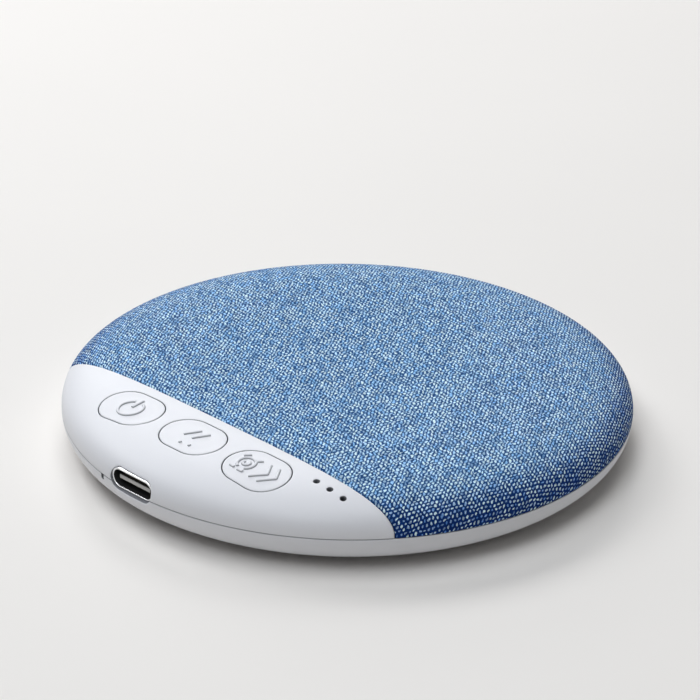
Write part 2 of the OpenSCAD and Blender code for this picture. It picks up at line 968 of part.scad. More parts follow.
// From under the edge of the speaker's frame down into the socket
module speaker_leads() {
    away = [cos(speaker_lead_angle), sin(speaker_lead_angle), 0];
    start = [speaker_x, speaker_y, speaker_top - frame_t - lead_r - thread_gap]
        + away * (speaker_r - flange_w / 2);
    end = [speaker_socket_at[0], speaker_socket_at[1], board_top] + lead_end;
    lead_pair([
        start,
        start + 2 * lead_bow * away - [0, 0, lead_bow / 3],
        [end[0] - lead_bow, end[1] + 3 * lead_bow, end[2] + lead_bow / 2],
        end
    ], [lead_pitch, 0, 0]);
}

// Speaker ---------------------------------------------------------------------

// Everything in the speaker is round about its own axis
module at_speaker() {
    translate([speaker_x, speaker_y])
        children();
}

// Pressed dish with a flange, open in six windows
module speaker_frame() {
    hub_z = plate_top - 2 * frame_t;
    color(steel)
        at_speaker()
            difference() {
                rotate_extrude($fn = 2 * round_fn)
                    polygon([
                        [yoke_r, hub_z],
                        [yoke_r + hub_w, hub_z],
                        [rim_r + frame_t, speaker_top - frame_t],
                        [speaker_r, speaker_top - frame_t],
                        [speaker_r, speaker_top],
                        [rim_r, speaker_top],
                        [yoke_r + hub_w - frame_t / 2, hub_z + frame_t],
                        [yoke_r, hub_z + frame_t]
                    ]);
                for (i = [0:window_count - 1])
                    rotate(i * 360 / window_count)
                        translate([(yoke_r + hub_w + rim_r) / 2, 0])
                            peg(window_r, speaker_bottom, speaker_top + 1);
            }
}

module speaker_yoke() {
    color(steel)
        at_speaker()
            difference() {
                peg(yoke_r, speaker_bottom, plate_top);
                peg(yoke_r - yoke_wall, magnet_z, plate_top + 1);
            }
}

module speaker_magnet() {
    color([0.5, 0.5, 0.52])
        at_speaker()
            peg(magnet_r, magnet_z, plate_z);
}

module speaker_plate() {
    color(steel)
        at_speaker()
            peg(plate_r, plate_z, plate_top);
}

module voice_coil() {
    color([0.72, 0.45, 0.2])
        at_speaker()
            ring(coil_r, coil_r + coil_t, coil_z, cone_low - coil_z);
}

// Shallow cone with a dust cap over the coil
module speaker_cone() {
    edge = coil_r + coil_t;
    cap = [for (t = [0:15:90]) [edge * sin(t), cone_low + cone_t + cap_rise * cos(t)]];
    cap_under = [for (t = [90:-15:0]) [(edge - cone_t) * sin(t), cone_low + cap_rise * cos(t)]];
    color(dark)
        at_speaker()
            rotate_extrude($fn = 2 * round_fn)
                polygon(concat(
                    cap,
                    [[cone_r, cone_high], [cone_r, cone_high - cone_t], [edge + cone_t, cone_low]],
                    cap_under
                ));
}

// Rubber half-roll with a flat land on the cone and another on the flange
module speaker_surround() {
    middle = cone_r + roll_w / 2 - surround_t;
    half = roll_w / 2;
    land = half + surround_land;
    over = [for (t = [0:15:180]) [middle - (half + surround_t) * cos(t),
                                  speaker_top + surround_t + roll_h * sin(t)]];
    under = [for (t = [180:-15:0]) [middle - half * cos(t), speaker_top + roll_h * sin(t)]];
    color(dark)
        at_speaker()
            rotate_extrude($fn = 2 * round_fn)
                polygon(concat(
                    [[middle - land, speaker_top], [middle - land, speaker_top + surround_t]],
                    over,
                    [[middle + land, speaker_top + surround_t], [middle + land, speaker_top]],
                    under
                ));
}

module speaker_gasket() {
    color("black")
        at_speaker()
            ring(speaker_r - gasket_w, speaker_r, speaker_top, gasket_t);
}

module speaker_pad() {
    color([0.3, 0.3, 0.3])
        at_speaker()
            peg(pad_r, floor_z, speaker_bottom);
}

// Drawing ---------------------------------------------------------------------

lower_shell();
top_shell();
cloth_cover();
key(key_places[0]);  // power_key
key(key_places[1]);  // sound_key
key(key_places[2]);  // timer_key
push_switch(key_places[0]);  // power_switch
push_switch(key_places[1]);  // sound_switch
push_switch(key_places[2]);  // timer_switch
plunger(key_places[0]);  // power_plunger
plunger(key_places[1]);  // sound_plunger
plunger(key_places[2]);  // timer_plunger
main_board();
board_screws();
case_screws();
usb_shell();
usb_blade();
charge_light();
light_shroud();
indicator_light(light_places[0]);  // light_left
indicator_light(light_places[1]);  // light_middle
indicator_light(light_places[2]);  // light_right
chip(sound_chip_at, sound_chip_size, sound_chip_legs);  // sound_chip
chip(amplifier_at, amplifier_size, amplifier_legs);  // amplifier_chip
chip(charger_at, charger_size, charger_legs);  // charger_chip
small_parts();
lead_socket(battery_socket_at, battery_socket_size);  // battery_socket
lead_socket(speaker_socket_at, speaker_socket_size);  // speaker_socket
battery_leads();
speaker_leads();
battery_cell();
battery_pad();
speaker_frame();
speaker_yoke();
speaker_magnet();
speaker_plate();
voice_coil();
speaker_cone();
speaker_surround();
speaker_gasket();
speaker_pad();
foot(foot_places[0]);  // foot_front_left
foot(foot_places[1]);  // foot_front_right
foot(foot_places[2]);  // foot_back_left
foot(foot_places[3]);  // foot_back_right
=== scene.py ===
import json
import math
from functools import partial, reduce

import bmesh
import bpy
import numpy as np
from mathutils import Matrix, Vector
from mathutils.geometry import delaunay_2d_cdt


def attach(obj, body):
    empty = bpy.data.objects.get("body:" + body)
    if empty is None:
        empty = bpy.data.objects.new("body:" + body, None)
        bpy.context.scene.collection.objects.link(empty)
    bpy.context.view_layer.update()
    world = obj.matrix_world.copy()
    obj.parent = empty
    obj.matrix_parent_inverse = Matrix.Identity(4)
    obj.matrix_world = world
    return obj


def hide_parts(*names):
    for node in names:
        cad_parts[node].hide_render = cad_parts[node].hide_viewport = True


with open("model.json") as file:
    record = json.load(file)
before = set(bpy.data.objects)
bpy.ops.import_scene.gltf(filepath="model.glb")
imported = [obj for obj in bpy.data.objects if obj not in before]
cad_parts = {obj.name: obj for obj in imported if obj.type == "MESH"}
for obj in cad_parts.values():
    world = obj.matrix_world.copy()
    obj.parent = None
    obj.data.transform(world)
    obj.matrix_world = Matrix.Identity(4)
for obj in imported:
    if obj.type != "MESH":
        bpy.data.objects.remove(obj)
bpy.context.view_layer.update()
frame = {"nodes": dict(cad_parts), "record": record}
mm = 0.001


# The shells of the housing are surfaces of revolution. A point of one is given by s, the way
# along its profile from the middle, and by its angle, so that (s cos a, s sin a) is a flat map
# in which openings are drawn as loops. The map is cut into triangles that keep the loops.

housing = {
    "rim": 45.0,  # radius at the seam
    "seam": 6.1,  # height of the seam
    "domeHeight": 5.8,
    "domeFlat": 7.2,  # exponents of the dome's profile
    "domeShoulder": 2.44,
    "shoulderStart": 0.86,  # share of the rim where the dome's profile turns down
    "domePoints": (900, 1600),
    "bowlHeight": 5.5,
    "bowlRound": 7.0,
    "bowlPoints": (300, 900),
    "panelWall": 1.9,
    "bowlWall": 1.5,
    "panelEdge": -27.15,  # straight edge between the panel and the cloth
    "edgeFillet": 0.2,
    "seamFillet": 0.2,
    "seatDepth": 0.63,  # the step for the cloth
    "seatStart": 0.015,  # how far behind the panel's edge it starts
    "seatLine": 0.03,  # and where it is fully down
    "seamOverlap": 0.05,
}

# How fine the flat maps are. A net is the spacing up to a radius, that radius, the spacing
# beyond it and the margin that it leaves to the seam
nets = {
    "panel": (0.62, 38, 0.4, 0.3),
    "underCloth": (2.0, 36, 1.0, 0.5),
    "bowl": (2.2, 36, 0.55, 0.3),
    "cloth": (1.1, 37, 0.55, 0.4),
    "rowShare": 0.87,  # from the spacing in a row to that of the rows
    "panelApart": 0.24,  # least way from a net's points to the loops and lines
    "bowlApart": 0.2,
    "clothApart": 0.25,
    "clear": 0.3,  # and from those of a shell to its openings
    "panelReach": 0.8,  # how far the panel's net goes on under the cloth
    "seamPoints": 720,
    "lightPoints": 28,
    "footPoints": 96,
    "edgePoints": 1500,
    "edgeStep": 0.3,
    "clothStep": 0.4,
    "keyStep": 0.28,
    "portStep": 0.2,
    "slotStep": 0.1,
}


class Profile:
    # Fine points of a profile from its middle to the seam, with normals that point outwards
    def __init__(self, r, z, nr, nz):
        self.r, self.z = r, z
        length = np.hypot(nr, nz)
        self.nr, self.nz = nr / length, nz / length
        self.s = np.concatenate([[0], np.cumsum(np.hypot(np.diff(r), np.diff(z)))])
        self.end = self.s[-1]

    def place(self, s):
        return np.interp(s, self.s, self.r), np.interp(s, self.s, self.z)


def domeProfile():
    h = housing
    p, q = h["domeFlat"], h["domeShoulder"]
    middle, shoulder = h["domePoints"]
    r = np.linspace(0, h["shoulderStart"] * h["rim"], middle)
    t = np.linspace(math.asin(h["shoulderStart"] ** (p / 2)), math.pi / 2, shoulder)[1:]
    r = np.concatenate([r, h["rim"] * np.sin(t) ** (2 / p)])
    z = h["domeHeight"] * np.maximum(0, 1 - (r / h["rim"]) ** p) ** (1 / q)
    nr = p / h["rim"] * (r / h["rim"]) ** (p - 1)
    nz = q / h["domeHeight"] * (z / h["domeHeight"]) ** (q - 1)
    return Profile(r, h["seam"] + z, nr, nz)


def bowlProfile():
    h = housing
    middle, edge = h["bowlPoints"]
    flat = np.linspace(0, h["rim"] - h["bowlRound"], middle)
    t = np.linspace(0, math.pi / 2, edge)
    level = np.ones(middle - 1)
    r = np.concatenate([flat[:-1], flat[-1] + h["bowlRound"] * np.sin(t)])
    z = -h["bowlHeight"] * np.concatenate([level, np.cos(t)])
    nr = np.concatenate([0 * level, np.sin(t) / h["bowlRound"]])
    nz = -np.concatenate([level, np.cos(t) / h["bowlHeight"]])
    return Profile(r, h["seam"] + z, nr, nz)


dome, bowl = domeProfile(), bowlProfile()


def toMap(profile, x, y):
    # Plan position to the flat map
    r = np.hypot(x, y)
    scale = np.interp(r, profile.r, profile.s) / np.maximum(r, 1e-9)
    return np.stack([x * scale, y * scale], 1)


def frontToMap(profile, x, z):
    # Position on the front of the rim, seen from the front, to the flat map
    order = np.argsort(profile.z)
    s = np.interp(z, profile.z[order], profile.s[order])
    r, _ = profile.place(s)
    y = -np.sqrt(np.maximum(r * r - x * x, 0))
    return np.stack([x, y], 1) * (s / np.hypot(x, y))[:, None]


def planOf(profile, flat):
    s = np.hypot(*flat.T)
    r, z = profile.place(np.minimum(s, profile.end))
    scale = r / np.maximum(s, 1e-9)
    return flat[:, 0] * scale, flat[:, 1] * scale, z


def fullTurn(count):
    return np.linspace(0, 2 * math.pi, count, endpoint=False)


def around(radius, a):
    return np.stack([radius * np.cos(a), radius * np.sin(a)], 1)


def pillOutline(radius, straight, step):
    # Counter-clockwise points of a pill round the origin
    count = max(6, int(math.pi * radius / step))
    across = max(1, int(straight / step))
    t = np.linspace(-math.pi / 2, math.pi / 2, count + 1)
    right = np.stack([straight / 2 + radius * np.cos(t), radius * np.sin(t)], 1)
    upper = np.stack([np.linspace(1, -1, across + 1)[1:-1] * straight / 2, np.full(across - 1, radius)], 1)
    return np.concatenate([right, upper, -right, -upper])


def pillDistance(x, y, radius, straight):
    return np.hypot(np.maximum(np.abs(x) - straight / 2, 0), y) - radius


def boxDistance(x, y, half):
    dx, dy = np.abs(x) - half[0], np.abs(y) - half[1]
    return np.hypot(np.maximum(dx, 0), np.maximum(dy, 0)) + np.minimum(np.maximum(dx, dy), 0)


def filletSink(d, f):
    # How far a rounded edge of radius f lies below the surface, at distance d from the edge
    inside = np.clip(f - d, 0, f)
    return f - np.sqrt(f * f - inside * inside)


filletSteps = [1 - math.cos(a * math.pi / 10) for a in range(6)]


def cutMap(profile, loops, lines, points, apart, solid, epsilon=1e-5):
    # Cuts the flat map into triangles that keep the given loops (closed) and lines (open), and
    # returns its points and the triangles that are solid
    vertices, edges = [], []
    for k, polyline in enumerate(loops + lines):
        start = len(vertices)
        vertices += [Vector(p) for p in polyline]
        edges += [(i, i + 1) for i in range(start, len(vertices) - 1)]
        if k < len(loops):
            edges.append((len(vertices) - 1, start))
    vertices += [Vector(p) for p in awayFrom(points, loops + lines, apart)]
    flat, _, triangles, *_ = delaunay_2d_cdt(vertices, edges, [], 0, epsilon)
    flat, triangles = np.array(flat), np.array(triangles)
    middle = flat[triangles].mean(1)
    return flat, triangles[solid(*planOf(profile, middle)) & (np.hypot(*middle.T) < profile.end)]


def gridPoints(profile, net, keep):
    # Rings of points over the flat map, where keep says so
    inner, radius, outer, margin = net
    rings = []
    s = 0.0
    while s < profile.end - margin:
        r, _ = profile.place(s)
        step = inner if s < radius else outer
        a = fullTurn(max(1, int(2 * math.pi * max(r, 0.01) / step))) + s
        rings.append(around(s, a))
        s += step * nets["rowShare"]
    points = np.concatenate(rings)
    return points[keep(*planOf(profile, points))]


def awayFrom(points, polylines, gap):
    # Leaves out the points that lie closer than gap to any point of the polylines
    cells = {}
    for p in np.concatenate(polylines):
        cells.setdefault((int(p[0] // gap), int(p[1] // gap)), []).append(p)
    kept = []
    for p in points:
        cx, cy = int(p[0] // gap), int(p[1] // gap)
        close = any(
            (p[0] - q[0]) ** 2 + (p[1] - q[1]) ** 2 < gap * gap
            for i in (-1, 0, 1) for j in (-1, 0, 1) for q in cells.get((cx + i, cy + j), ()))
        if not close:
            kept.append(p)
    return np.array(kept)


def resample(polyline, step):
    polyline = np.asarray(polyline)
    length = np.concatenate([[0], np.cumsum(np.hypot(*np.diff(polyline, axis=0).T))])
    at = np.linspace(0, length[-1], max(2, int(length[-1] / step) + 1))
    return np.stack([np.interp(at, length, polyline[:, k]) for k in (0, 1)], 1)


def raiseMap(profile, flat, sink):
    # Flat map to space, with the surface sunk along its normal
    s = np.minimum(np.hypot(*flat.T), profile.end)
    a = np.arctan2(flat[:, 1], flat[:, 0])
    r, z = profile.place(s)
    r = r - np.interp(s, profile.s, profile.nr) * sink
    z = z - np.interp(s, profile.s, profile.nz) * sink
    return np.column_stack([around(r, a), z])


def pointObject(name, points, edges=(), faces=()):
    mesh = bpy.data.meshes.new(name)
    mesh.from_pydata(points, edges, faces)
    return bpy.data.objects.new(name, mesh)


def show(thing):
    bpy.context.scene.collection.objects.link(thing)
    return thing


def makeObject(name, points, faces):
    made = pointObject(name, [tuple(p * mm) for p in points], [], [tuple(int(i) for i in f) for f in faces])
    made.data.validate()
    made.data.update()
    made.data.polygons.foreach_set("use_smooth", [True] * len(made.data.polygons))
    return show(made)


def ringFaces(rings, count, wrap=False):
    # Quads between rings of count points each, also from the last to the first if they wrap
    faces = []
    for i in range(rings if wrap else rings - 1):
        low, high = i * count, (i + 1) % rings * count
        faces += [(low + j, low + (j + 1) % count, high + (j + 1) % count, high + j) for j in range(count)]
    return faces


def cleanUp(mesh, merge=None):
    work = bmesh.new()
    work.from_mesh(mesh)
    if merge:
        bmesh.ops.remove_doubles(work, verts=work.verts, dist=merge * mm)
    bmesh.ops.recalc_face_normals(work, faces=work.faces)
    work.to_mesh(mesh)
    work.free()


def flatCross(flat, triangles):
    # Twice the area of each triangle of the flat map, below 0 if it runs clockwise
    a, b, c = flat[triangles].transpose(1, 0, 2)
    return np.cross(b - a, c - a)


def shellObject(name, profile, flat, triangles, sink, wall, recess=None, downwards=False):
    # A closed shell: the sunk outer face, the inner one at the wall's depth, the edges between
    count = len(flat)
    turns = flatCross(flat, triangles)
    turn = turns > 0 if downwards else turns < 0
    triangles = np.where(turn[:, None], triangles[:, ::-1], triangles)
    edges = {(int(t[k]), int(t[(k + 1) % 3])): True for t in triangles for k in range(3)}
    faces = [tuple(t) for t in triangles] + [tuple(t[::-1] + count) for t in triangles]
    faces += [(j, i, i + count, j + count) for i, j in edges if (j, i) not in edges]
    made = makeObject(name, np.concatenate([raiseMap(profile, flat, low) for low in (sink, wall)]), faces)
    # The inner face gets full painted shade
    if recess is not None:
        markPaintedShade(made, np.concatenate([recess, np.ones(count)]))
    return made


def markPaintedShade(thing, values):
    # How deep in a gap each point lies, as the amount of painted shade that the finish puts there
    layer = thing.data.attributes.new("recess", "FLOAT", "POINT")
    layer.data.foreach_set("value", np.asarray(values, np.float32))


# Amount of painted shade at a point sunk into a gap's rounded edge
def paintedGapShade(sink, fillet, start=0.5, most=0.8, bend=1.0):
    return most * np.clip((sink / fillet - start) / (1 - start), 0, 1) ** bend


openings = {
    "keyRadius": 4.2,
    "keyStraight": 3.0,
    "keyFillet": 0.13,
    "keyPlaces": [(-13.5, -33.4), (0.2, -33.4), (13.9, -33.4)],
    "lightRadius": 0.5,
    "lightFillet": 0.1,
    "lightPlaces": [(22.45, -29.6), (25.15, -29.6), (27.85, -29.6)],
    "portMiddle": (-1.45, 6.95),
    "portRadius": 1.78,
    "portStraight": 5.68,
    "portFillet": 0.16,
    "portBelow": 2,  # the port's points are put in order from this far below its middle
    "slotMiddle": (-8.2, 5.67),
    "slotHalf": (0.35, 0.47),
    "slotFillet": 0.06,
    "footPlaces": [(x * 22.981, y * 22.981) for x in (-1, 1) for y in (-1, 1)],
    "footRadius": 4.6,
    "footFillet": 0.15,
    # painted shade along the seam: where it starts, how dark it gets and its bend
    "seamPaintedShade": (0.1, 1.0, 0.6),
}


def gapsOf(kind, x, y):
    # Each gap is the distance of the given points from its edge, and the edge's fillet
    o = openings
    radius, straight, fillet = o[kind + "Radius"], o.get(kind + "Straight", 0), o[kind + "Fillet"]
    return [(pillDistance(x - cx, y - cy, radius, straight), fillet) for cx, cy in o[kind + "Places"]]


def portGap(x, y, z):
    o = openings
    d = pillDistance(x - o["portMiddle"][0], z - o["portMiddle"][1], o["portRadius"], o["portStraight"])
    return np.where(y < 0, d, np.inf), o["portFillet"]


def slotGap(x, y, z):
    o = openings
    d = boxDistance(x - o["slotMiddle"][0], z - o["slotMiddle"][1], o["slotHalf"])
    return np.where(y < 0, d, np.inf), o["slotFillet"]


def clearOf(gaps, room=0.0):
    return np.min([d for d, _ in gaps], axis=0) > room


def sinkShell(profile, flat, gaps):
    # How far each point is sunk by the rounded seam and edges, and how much painted shade it gets for lying
    # in a gap
    fillet = housing["seamFillet"]
    sink = filletSink(profile.end - np.hypot(*flat.T), fillet)
    recess = paintedGapShade(sink, fillet, *openings["seamPaintedShade"])
    for d, fillet in gaps:
        low = filletSink(np.maximum(d, 0), fillet)
        sink = np.maximum(sink, low)
        recess = np.maximum(recess, paintedGapShade(low, fillet))
    return sink, recess


def seamLoops(profile, fillet):
    a = fullTurn(nets["seamPoints"])
    return [around(profile.end - k * fillet, a) for k in filletSteps]


def roundLoops(profile, kind):
    loops = []
    a = fullTurn(nets[kind + "Points"])
    for place in openings[kind + "Places"]:
        for k in filletSteps:
            radius = openings[kind + "Radius"] + k * openings[kind + "Fillet"]
            loops.append(toMap(profile, *(around(radius, a) + place).T))
    return loops


def edgeLine(y, step):
    # The straight edge across the dome
    reach = math.sqrt(housing["rim"] ** 2 - y * y)
    x = reach * np.sin(np.linspace(-math.pi / 2, math.pi / 2, nets["edgePoints"]))
    return resample(toMap(dome, x, np.full_like(x, y)), step)


def portOutline(k):
    o = openings
    ring = pillOutline(o["portRadius"] + k * o["portFillet"], o["portStraight"], nets["portStep"])
    return ring + o["portMiddle"]


def buildTopShell():
    h, o = housing, openings
    loops, lines = [], []
    for place in o["keyPlaces"]:
        for k in filletSteps:
            ring = pillOutline(o["keyRadius"] + k * o["keyFillet"], o["keyStraight"], nets["keyStep"]) + place
            loops.append(toMap(dome, *ring.T))
    loops += roundLoops(dome, "light") + seamLoops(dome, h["seamFillet"])
    for k in filletSteps:
        ring = portOutline(k)
        ring = ring[ring[:, 1] > h["seam"] - h["seamOverlap"]]
        aside, above = (ring - o["portMiddle"]).T
        lines.append(frontToMap(dome, *ring[np.argsort(np.arctan2(above + o["portBelow"], aside))].T))
    edges = [h["panelEdge"] - k * h["edgeFillet"] for k in filletSteps] + [h["panelEdge"] + h["seatLine"]]
    lines += [edgeLine(y, nets["edgeStep"]) for y in edges]
    reach = h["panelEdge"] + nets["panelReach"]

    def gaps(x, y, z):
        return gapsOf("key", x, y) + gapsOf("light", x, y) + [portGap(x, y, z)]

    def onPanel(x, y, z):
        return clearOf(gapsOf("key", x, y) + [portGap(x, y, z)], nets["clear"]) & (y < reach)

    panel = gridPoints(dome, nets["panel"], onPanel)
    rest = gridPoints(dome, nets["underCloth"], lambda x, y, z: y > reach)
    flat, triangles = cutMap(dome, loops, lines, np.concatenate([panel, rest]), nets["panelApart"],
                             lambda *at: clearOf(gaps(*at)))
    x, y, z = planOf(dome, flat)
    sink, recess = sinkShell(dome, flat, gaps(x, y, z) + [(h["panelEdge"] - y, h["edgeFillet"])])
    # Under the cloth the seat gets full painted shade
    seat = y > h["panelEdge"] + h["seatStart"]
    return shellObject("panelShell", dome, flat, triangles, np.where(seat, h["seatDepth"], sink),
                       h["panelWall"], np.where(seat, 1, recess))


def buildLowerShell():
    h, o = housing, openings
    loops, lines = seamLoops(bowl, h["seamFillet"]) + roundLoops(bowl, "foot"), []
    for k in filletSteps:
        ring = portOutline(k)
        ring = ring[ring[:, 1] < h["seam"] + h["seamOverlap"]]
        lines.append(frontToMap(bowl, *ring[np.argsort(ring[:, 0])].T))
        sx, sz = o["slotMiddle"]
        hx, hz = (half + k * o["slotFillet"] for half in o["slotHalf"])
        corner = np.array([(-hx, h["seam"] - sz), (-hx, -hz), (hx, -hz), (hx, h["seam"] - sz)]) + (sx, sz)
        lines.append(frontToMap(bowl, *resample(corner, nets["slotStep"]).T))

    def gaps(x, y, z):
        return gapsOf("foot", x, y) + [portGap(x, y, z), slotGap(x, y, z)]

    def inside(x, y, z):
        return clearOf(gapsOf("foot", x, y) + [portGap(x, y, z)], nets["clear"])

    points = gridPoints(bowl, nets["bowl"], inside)
    flat, triangles = cutMap(bowl, loops, lines, points, nets["bowlApart"], lambda *at: clearOf(gaps(*at)))
    sink, recess = sinkShell(bowl, flat, gaps(*planOf(bowl, flat)))
    return shellObject("baseShell", bowl, flat, triangles, sink, h["bowlWall"], recess, downwards=True)


topShell = buildTopShell()
lowerShell = buildLowerShell()
print("shells:", len(topShell.data.polygons), len(lowerShell.data.polygons))


cloth = {
    "edge": housing["panelEdge"] + 0.08,
    "edgeRoll": 0.34,
    "seamRoll": 0.24,
    "thickness": 0.6,
    "mapSize": 100.0,  # side of the square that the weave is laid out on
}


def buildCloth():
    c = cloth
    loops = seamLoops(dome, c["seamRoll"])
    lines = [edgeLine(c["edge"] + k * c["edgeRoll"], nets["clothStep"]) for k in filletSteps]

    def behindEdge(x, y, z):
        return y > c["edge"]

    points = gridPoints(dome, nets["cloth"], behindEdge)
    flat, triangles = cutMap(dome, loops, lines, points, nets["clothApart"], behindEdge)
    sink = filletSink(dome.end - np.hypot(*flat.T), c["seamRoll"])
    behind = np.maximum(planOf(dome, flat)[1] - c["edge"], 0)
    sink = np.maximum(sink, filletSink(behind, c["edgeRoll"]))
    used = np.unique(triangles)
    order = np.full(len(flat), -1)
    order[used] = np.arange(len(used))
    flat, sink, triangles = flat[used], sink[used], order[triangles]
    made = shellObject("clothCover", dome, flat, triangles, sink, c["thickness"])
    layer = made.data.uv_layers.new(name="weaveMap")
    across = np.concatenate([flat, flat]) / c["mapSize"] + 0.5
    corner = np.zeros(len(made.data.loops), int)
    made.data.loops.foreach_get("vertex_index", corner)
    layer.data.foreach_set("uv", across[corner].astype(np.float32).ravel())
    area = np.abs(flatCross(flat, triangles)).sum() / 2
    return made, area * mm * mm, np.ptp(flat, axis=0) * mm


clothCover, clothArea, clothSize = buildCloth()
print("cloth:", len(clothCover.data.polygons), clothArea, clothSize)


keys = {
    "radius": 4.05,
    "straight": 3.0,
    "fillet": 0.13,
    "dish": 0.05,
    "dishReach": 1.5,
    "depth": 1.2,
    "taper": 0.4,  # how much smaller a key is at its foot
    "edgePaintedShade": 0.45,  # how much painted shade its edge gets in the gap
    "roundPoints": 30,
    "straightPoints": 12,
    "ringStep": 0.32,
    "merge": 0.002,
    "names": ["power", "sound", "timer"],
}


def keyTop(x, y, place):
    # Height of a key's top: the dome, dished a little towards the middle
    d = -pillDistance(x - place[0], y - place[1], keys["radius"], keys["straight"])
    share = np.clip(d / keys["dishReach"], 0, 1)
    return np.interp(np.hypot(x, y), dome.r, dome.z) - keys["dish"] * share ** 2 * (3 - 2 * share)


def buildKey(name, place):
    k = keys
    t = np.linspace(-math.pi / 2, math.pi / 2, k["roundPoints"] + 1)
    across = np.linspace(1, -1, k["straightPoints"] + 1)[1:-1]
    end = around(1, t)
    side = np.stack([np.zeros_like(across), np.ones_like(across)], 1)
    way = np.concatenate([end, side, -end, -side])
    shift = np.concatenate([np.ones(len(t)), across, -np.ones(len(t)), -across]) * k["straight"] / 2
    insets = [s * k["fillet"] for s in filletSteps]
    insets += list(np.linspace(k["fillet"], k["radius"], int(k["radius"] / k["ringStep"]) + 1))[1:]
    rings = []
    for inset in insets:
        ring = way * (k["radius"] - inset)
        x, y = ring[:, 0] + shift + place[0], ring[:, 1] + place[1]
        rings.append(np.stack([x, y, keyTop(x, y, place) - filletSink(inset, k["fillet"])], 1))
    count = len(way)
    foot = rings[0].copy()
    foot[:, :2] -= way * k["taper"]
    foot[:, 2] = rings[0][:, 2].min() - k["depth"]
    faces = ringFaces(len(rings) + 1, count) + [tuple(range(count - 1, -1, -1))]
    made = makeObject(name, np.concatenate([foot] + rings), faces)
    # Painted shade on the key's edge down in the gap, and full painted shade on its foot
    deep = [paintedGapShade(filletSink(inset, k["fillet"]), k["fillet"], most=k["edgePaintedShade"]) for inset in insets]
    markPaintedShade(made, np.repeat([1] + deep, count))
    cleanUp(made.data, k["merge"])
    return made


keyPieces = [buildKey(name + "Key", place) for name, place in zip(keys["names"], openings["keyPlaces"])]
print("keys:", [len(k.data.polygons) for k in keyPieces])


class Wiring:
    # Adds nodes to a tree. An input that is given a socket is linked, any other is set
    def __init__(self, tree):
        self.tree = tree

    def put(self, node, inputs):
        for port, value in dict(inputs).items():
            if isinstance(value, bpy.types.NodeSocket):
                self.tree.links.new(value, node.inputs[port])
            else:
                node.inputs[port].default_value = value

    def node(self, kind, inputs=(), **settings):
        made = self.tree.nodes.new(kind)
        for label, value in settings.items():
            setattr(made, label, value)
        self.put(made, inputs)
        return made

    def add(self, kind, inputs=(), output=0, **settings):
        return self.node(kind, inputs, **settings).outputs[output]

    def math(self, operation, *values, clamp=False):
        return self.add("ShaderNodeMath", enumerate(values), operation=operation, use_clamp=clamp)

    def plus(self, *values):
        return reduce(partial(self.math, "ADD"), values)

    def times(self, *values):
        return reduce(partial(self.math, "MULTIPLY"), values)

    def minus(self, a, b):
        return self.math("SUBTRACT", a, b)

    def vector(self, operation, inputs, output=0):
        return self.add("ShaderNodeVectorMath", inputs, output, operation=operation)

    def split(self, kind, value):
        return self.node("ShaderNodeSeparate" + kind, {0: value}).outputs[:]

    def noise(self, vector, scale, detail, rough, output=0):
        inputs = {"Vector": vector, "Scale": scale, "Detail": detail, "Roughness": rough}
        return self.add("ShaderNodeTexNoise", inputs, output)

    def mix(self, blend, factor, *colors):
        a, b = ((*color, 1) if isinstance(color, tuple) else color for color in colors)
        return self.add("ShaderNodeMix", {0: factor, 6: a, 7: b}, 2, data_type="RGBA", blend_type=blend)

    def ramp(self, value, low, high, outLow=0.0, outHigh=1.0):
        inputs = {"Value": value, "From Min": low, "From Max": high, "To Min": outLow, "To Max": outHigh}
        return self.add("ShaderNodeMapRange", inputs, "Result", interpolation_type="SMOOTHSTEP")

    def bump(self, shader, height, strength, depth):
        inputs = {"Height": height, "Strength": strength, "Distance": depth * mm}
        self.put(shader, {"Normal": self.add("ShaderNodeBump", inputs)})


def newTree(name, kind, inputs, outputs):
    tree = bpy.data.node_groups.new(name, kind)
    for label, socket, value in inputs:
        made = tree.interface.new_socket(label, in_out="INPUT", socket_type="NodeSocket" + socket)
        if value is not None:
            made.default_value = value
    for label, socket in outputs:
        tree.interface.new_socket(label, in_out="OUTPUT", socket_type="NodeSocket" + socket)
    t = Wiring(tree)
    return t, t.node("NodeGroupInput").outputs, t.node("NodeGroupOutput")


def newShape(name, inputs):
    inputs = [("Geometry", "Geometry", None), *inputs, ("Finish", "Material", None)]
    return newTree(name, "GeometryNodeTree", inputs, [("Geometry", "Geometry")])


def endShape(t, geometry, source, result):
    real = t.add("GeometryNodeRealizeInstances", {0: geometry})
    t.put(result, {0: t.add("GeometryNodeSetMaterial", {"Geometry": real, "Material": source["Finish"]})})
    return t.tree


def bakeTree(name, base, tree, finish):
    # Runs a tree on a base mesh and returns the result as a plain mesh object
    show(base)
    modifier = base.modifiers.new("made", "NODES")
    modifier.node_group = tree
    for item in tree.interface.items_tree:
        if item.name == "Finish":
            modifier[item.identifier] = finish
    graph = bpy.context.evaluated_depsgraph_get()
    graph.update()
    mesh = bpy.data.meshes.new_from_object(base.evaluated_get(graph), depsgraph=graph)
    base.modifiers.clear()
    bpy.data.objects.remove(base)
    mesh.name = name
    return show(bpy.data.objects.new(name, mesh))


signs = {
    "width": 0.5,
    "height": 0.24,
    "step": 0.1,
    "sides": 14,
    "endRound": 1.02,  # just over 1, so that a stroke's end keeps some width
    "arcStep": 9,  # degrees
    "arcPoints": 8,
    "footShade": 0.75,  # painted shadow where a stroke leaves the key
    "footReach": 0.8,  # up to what share of its height
}


def arc(x, y, radius, start, end):
    count = max(signs["arcPoints"], int(abs(end - start) / signs["arcStep"]))
    return around(radius, np.radians(np.linspace(start, end, count))) + (x, y)


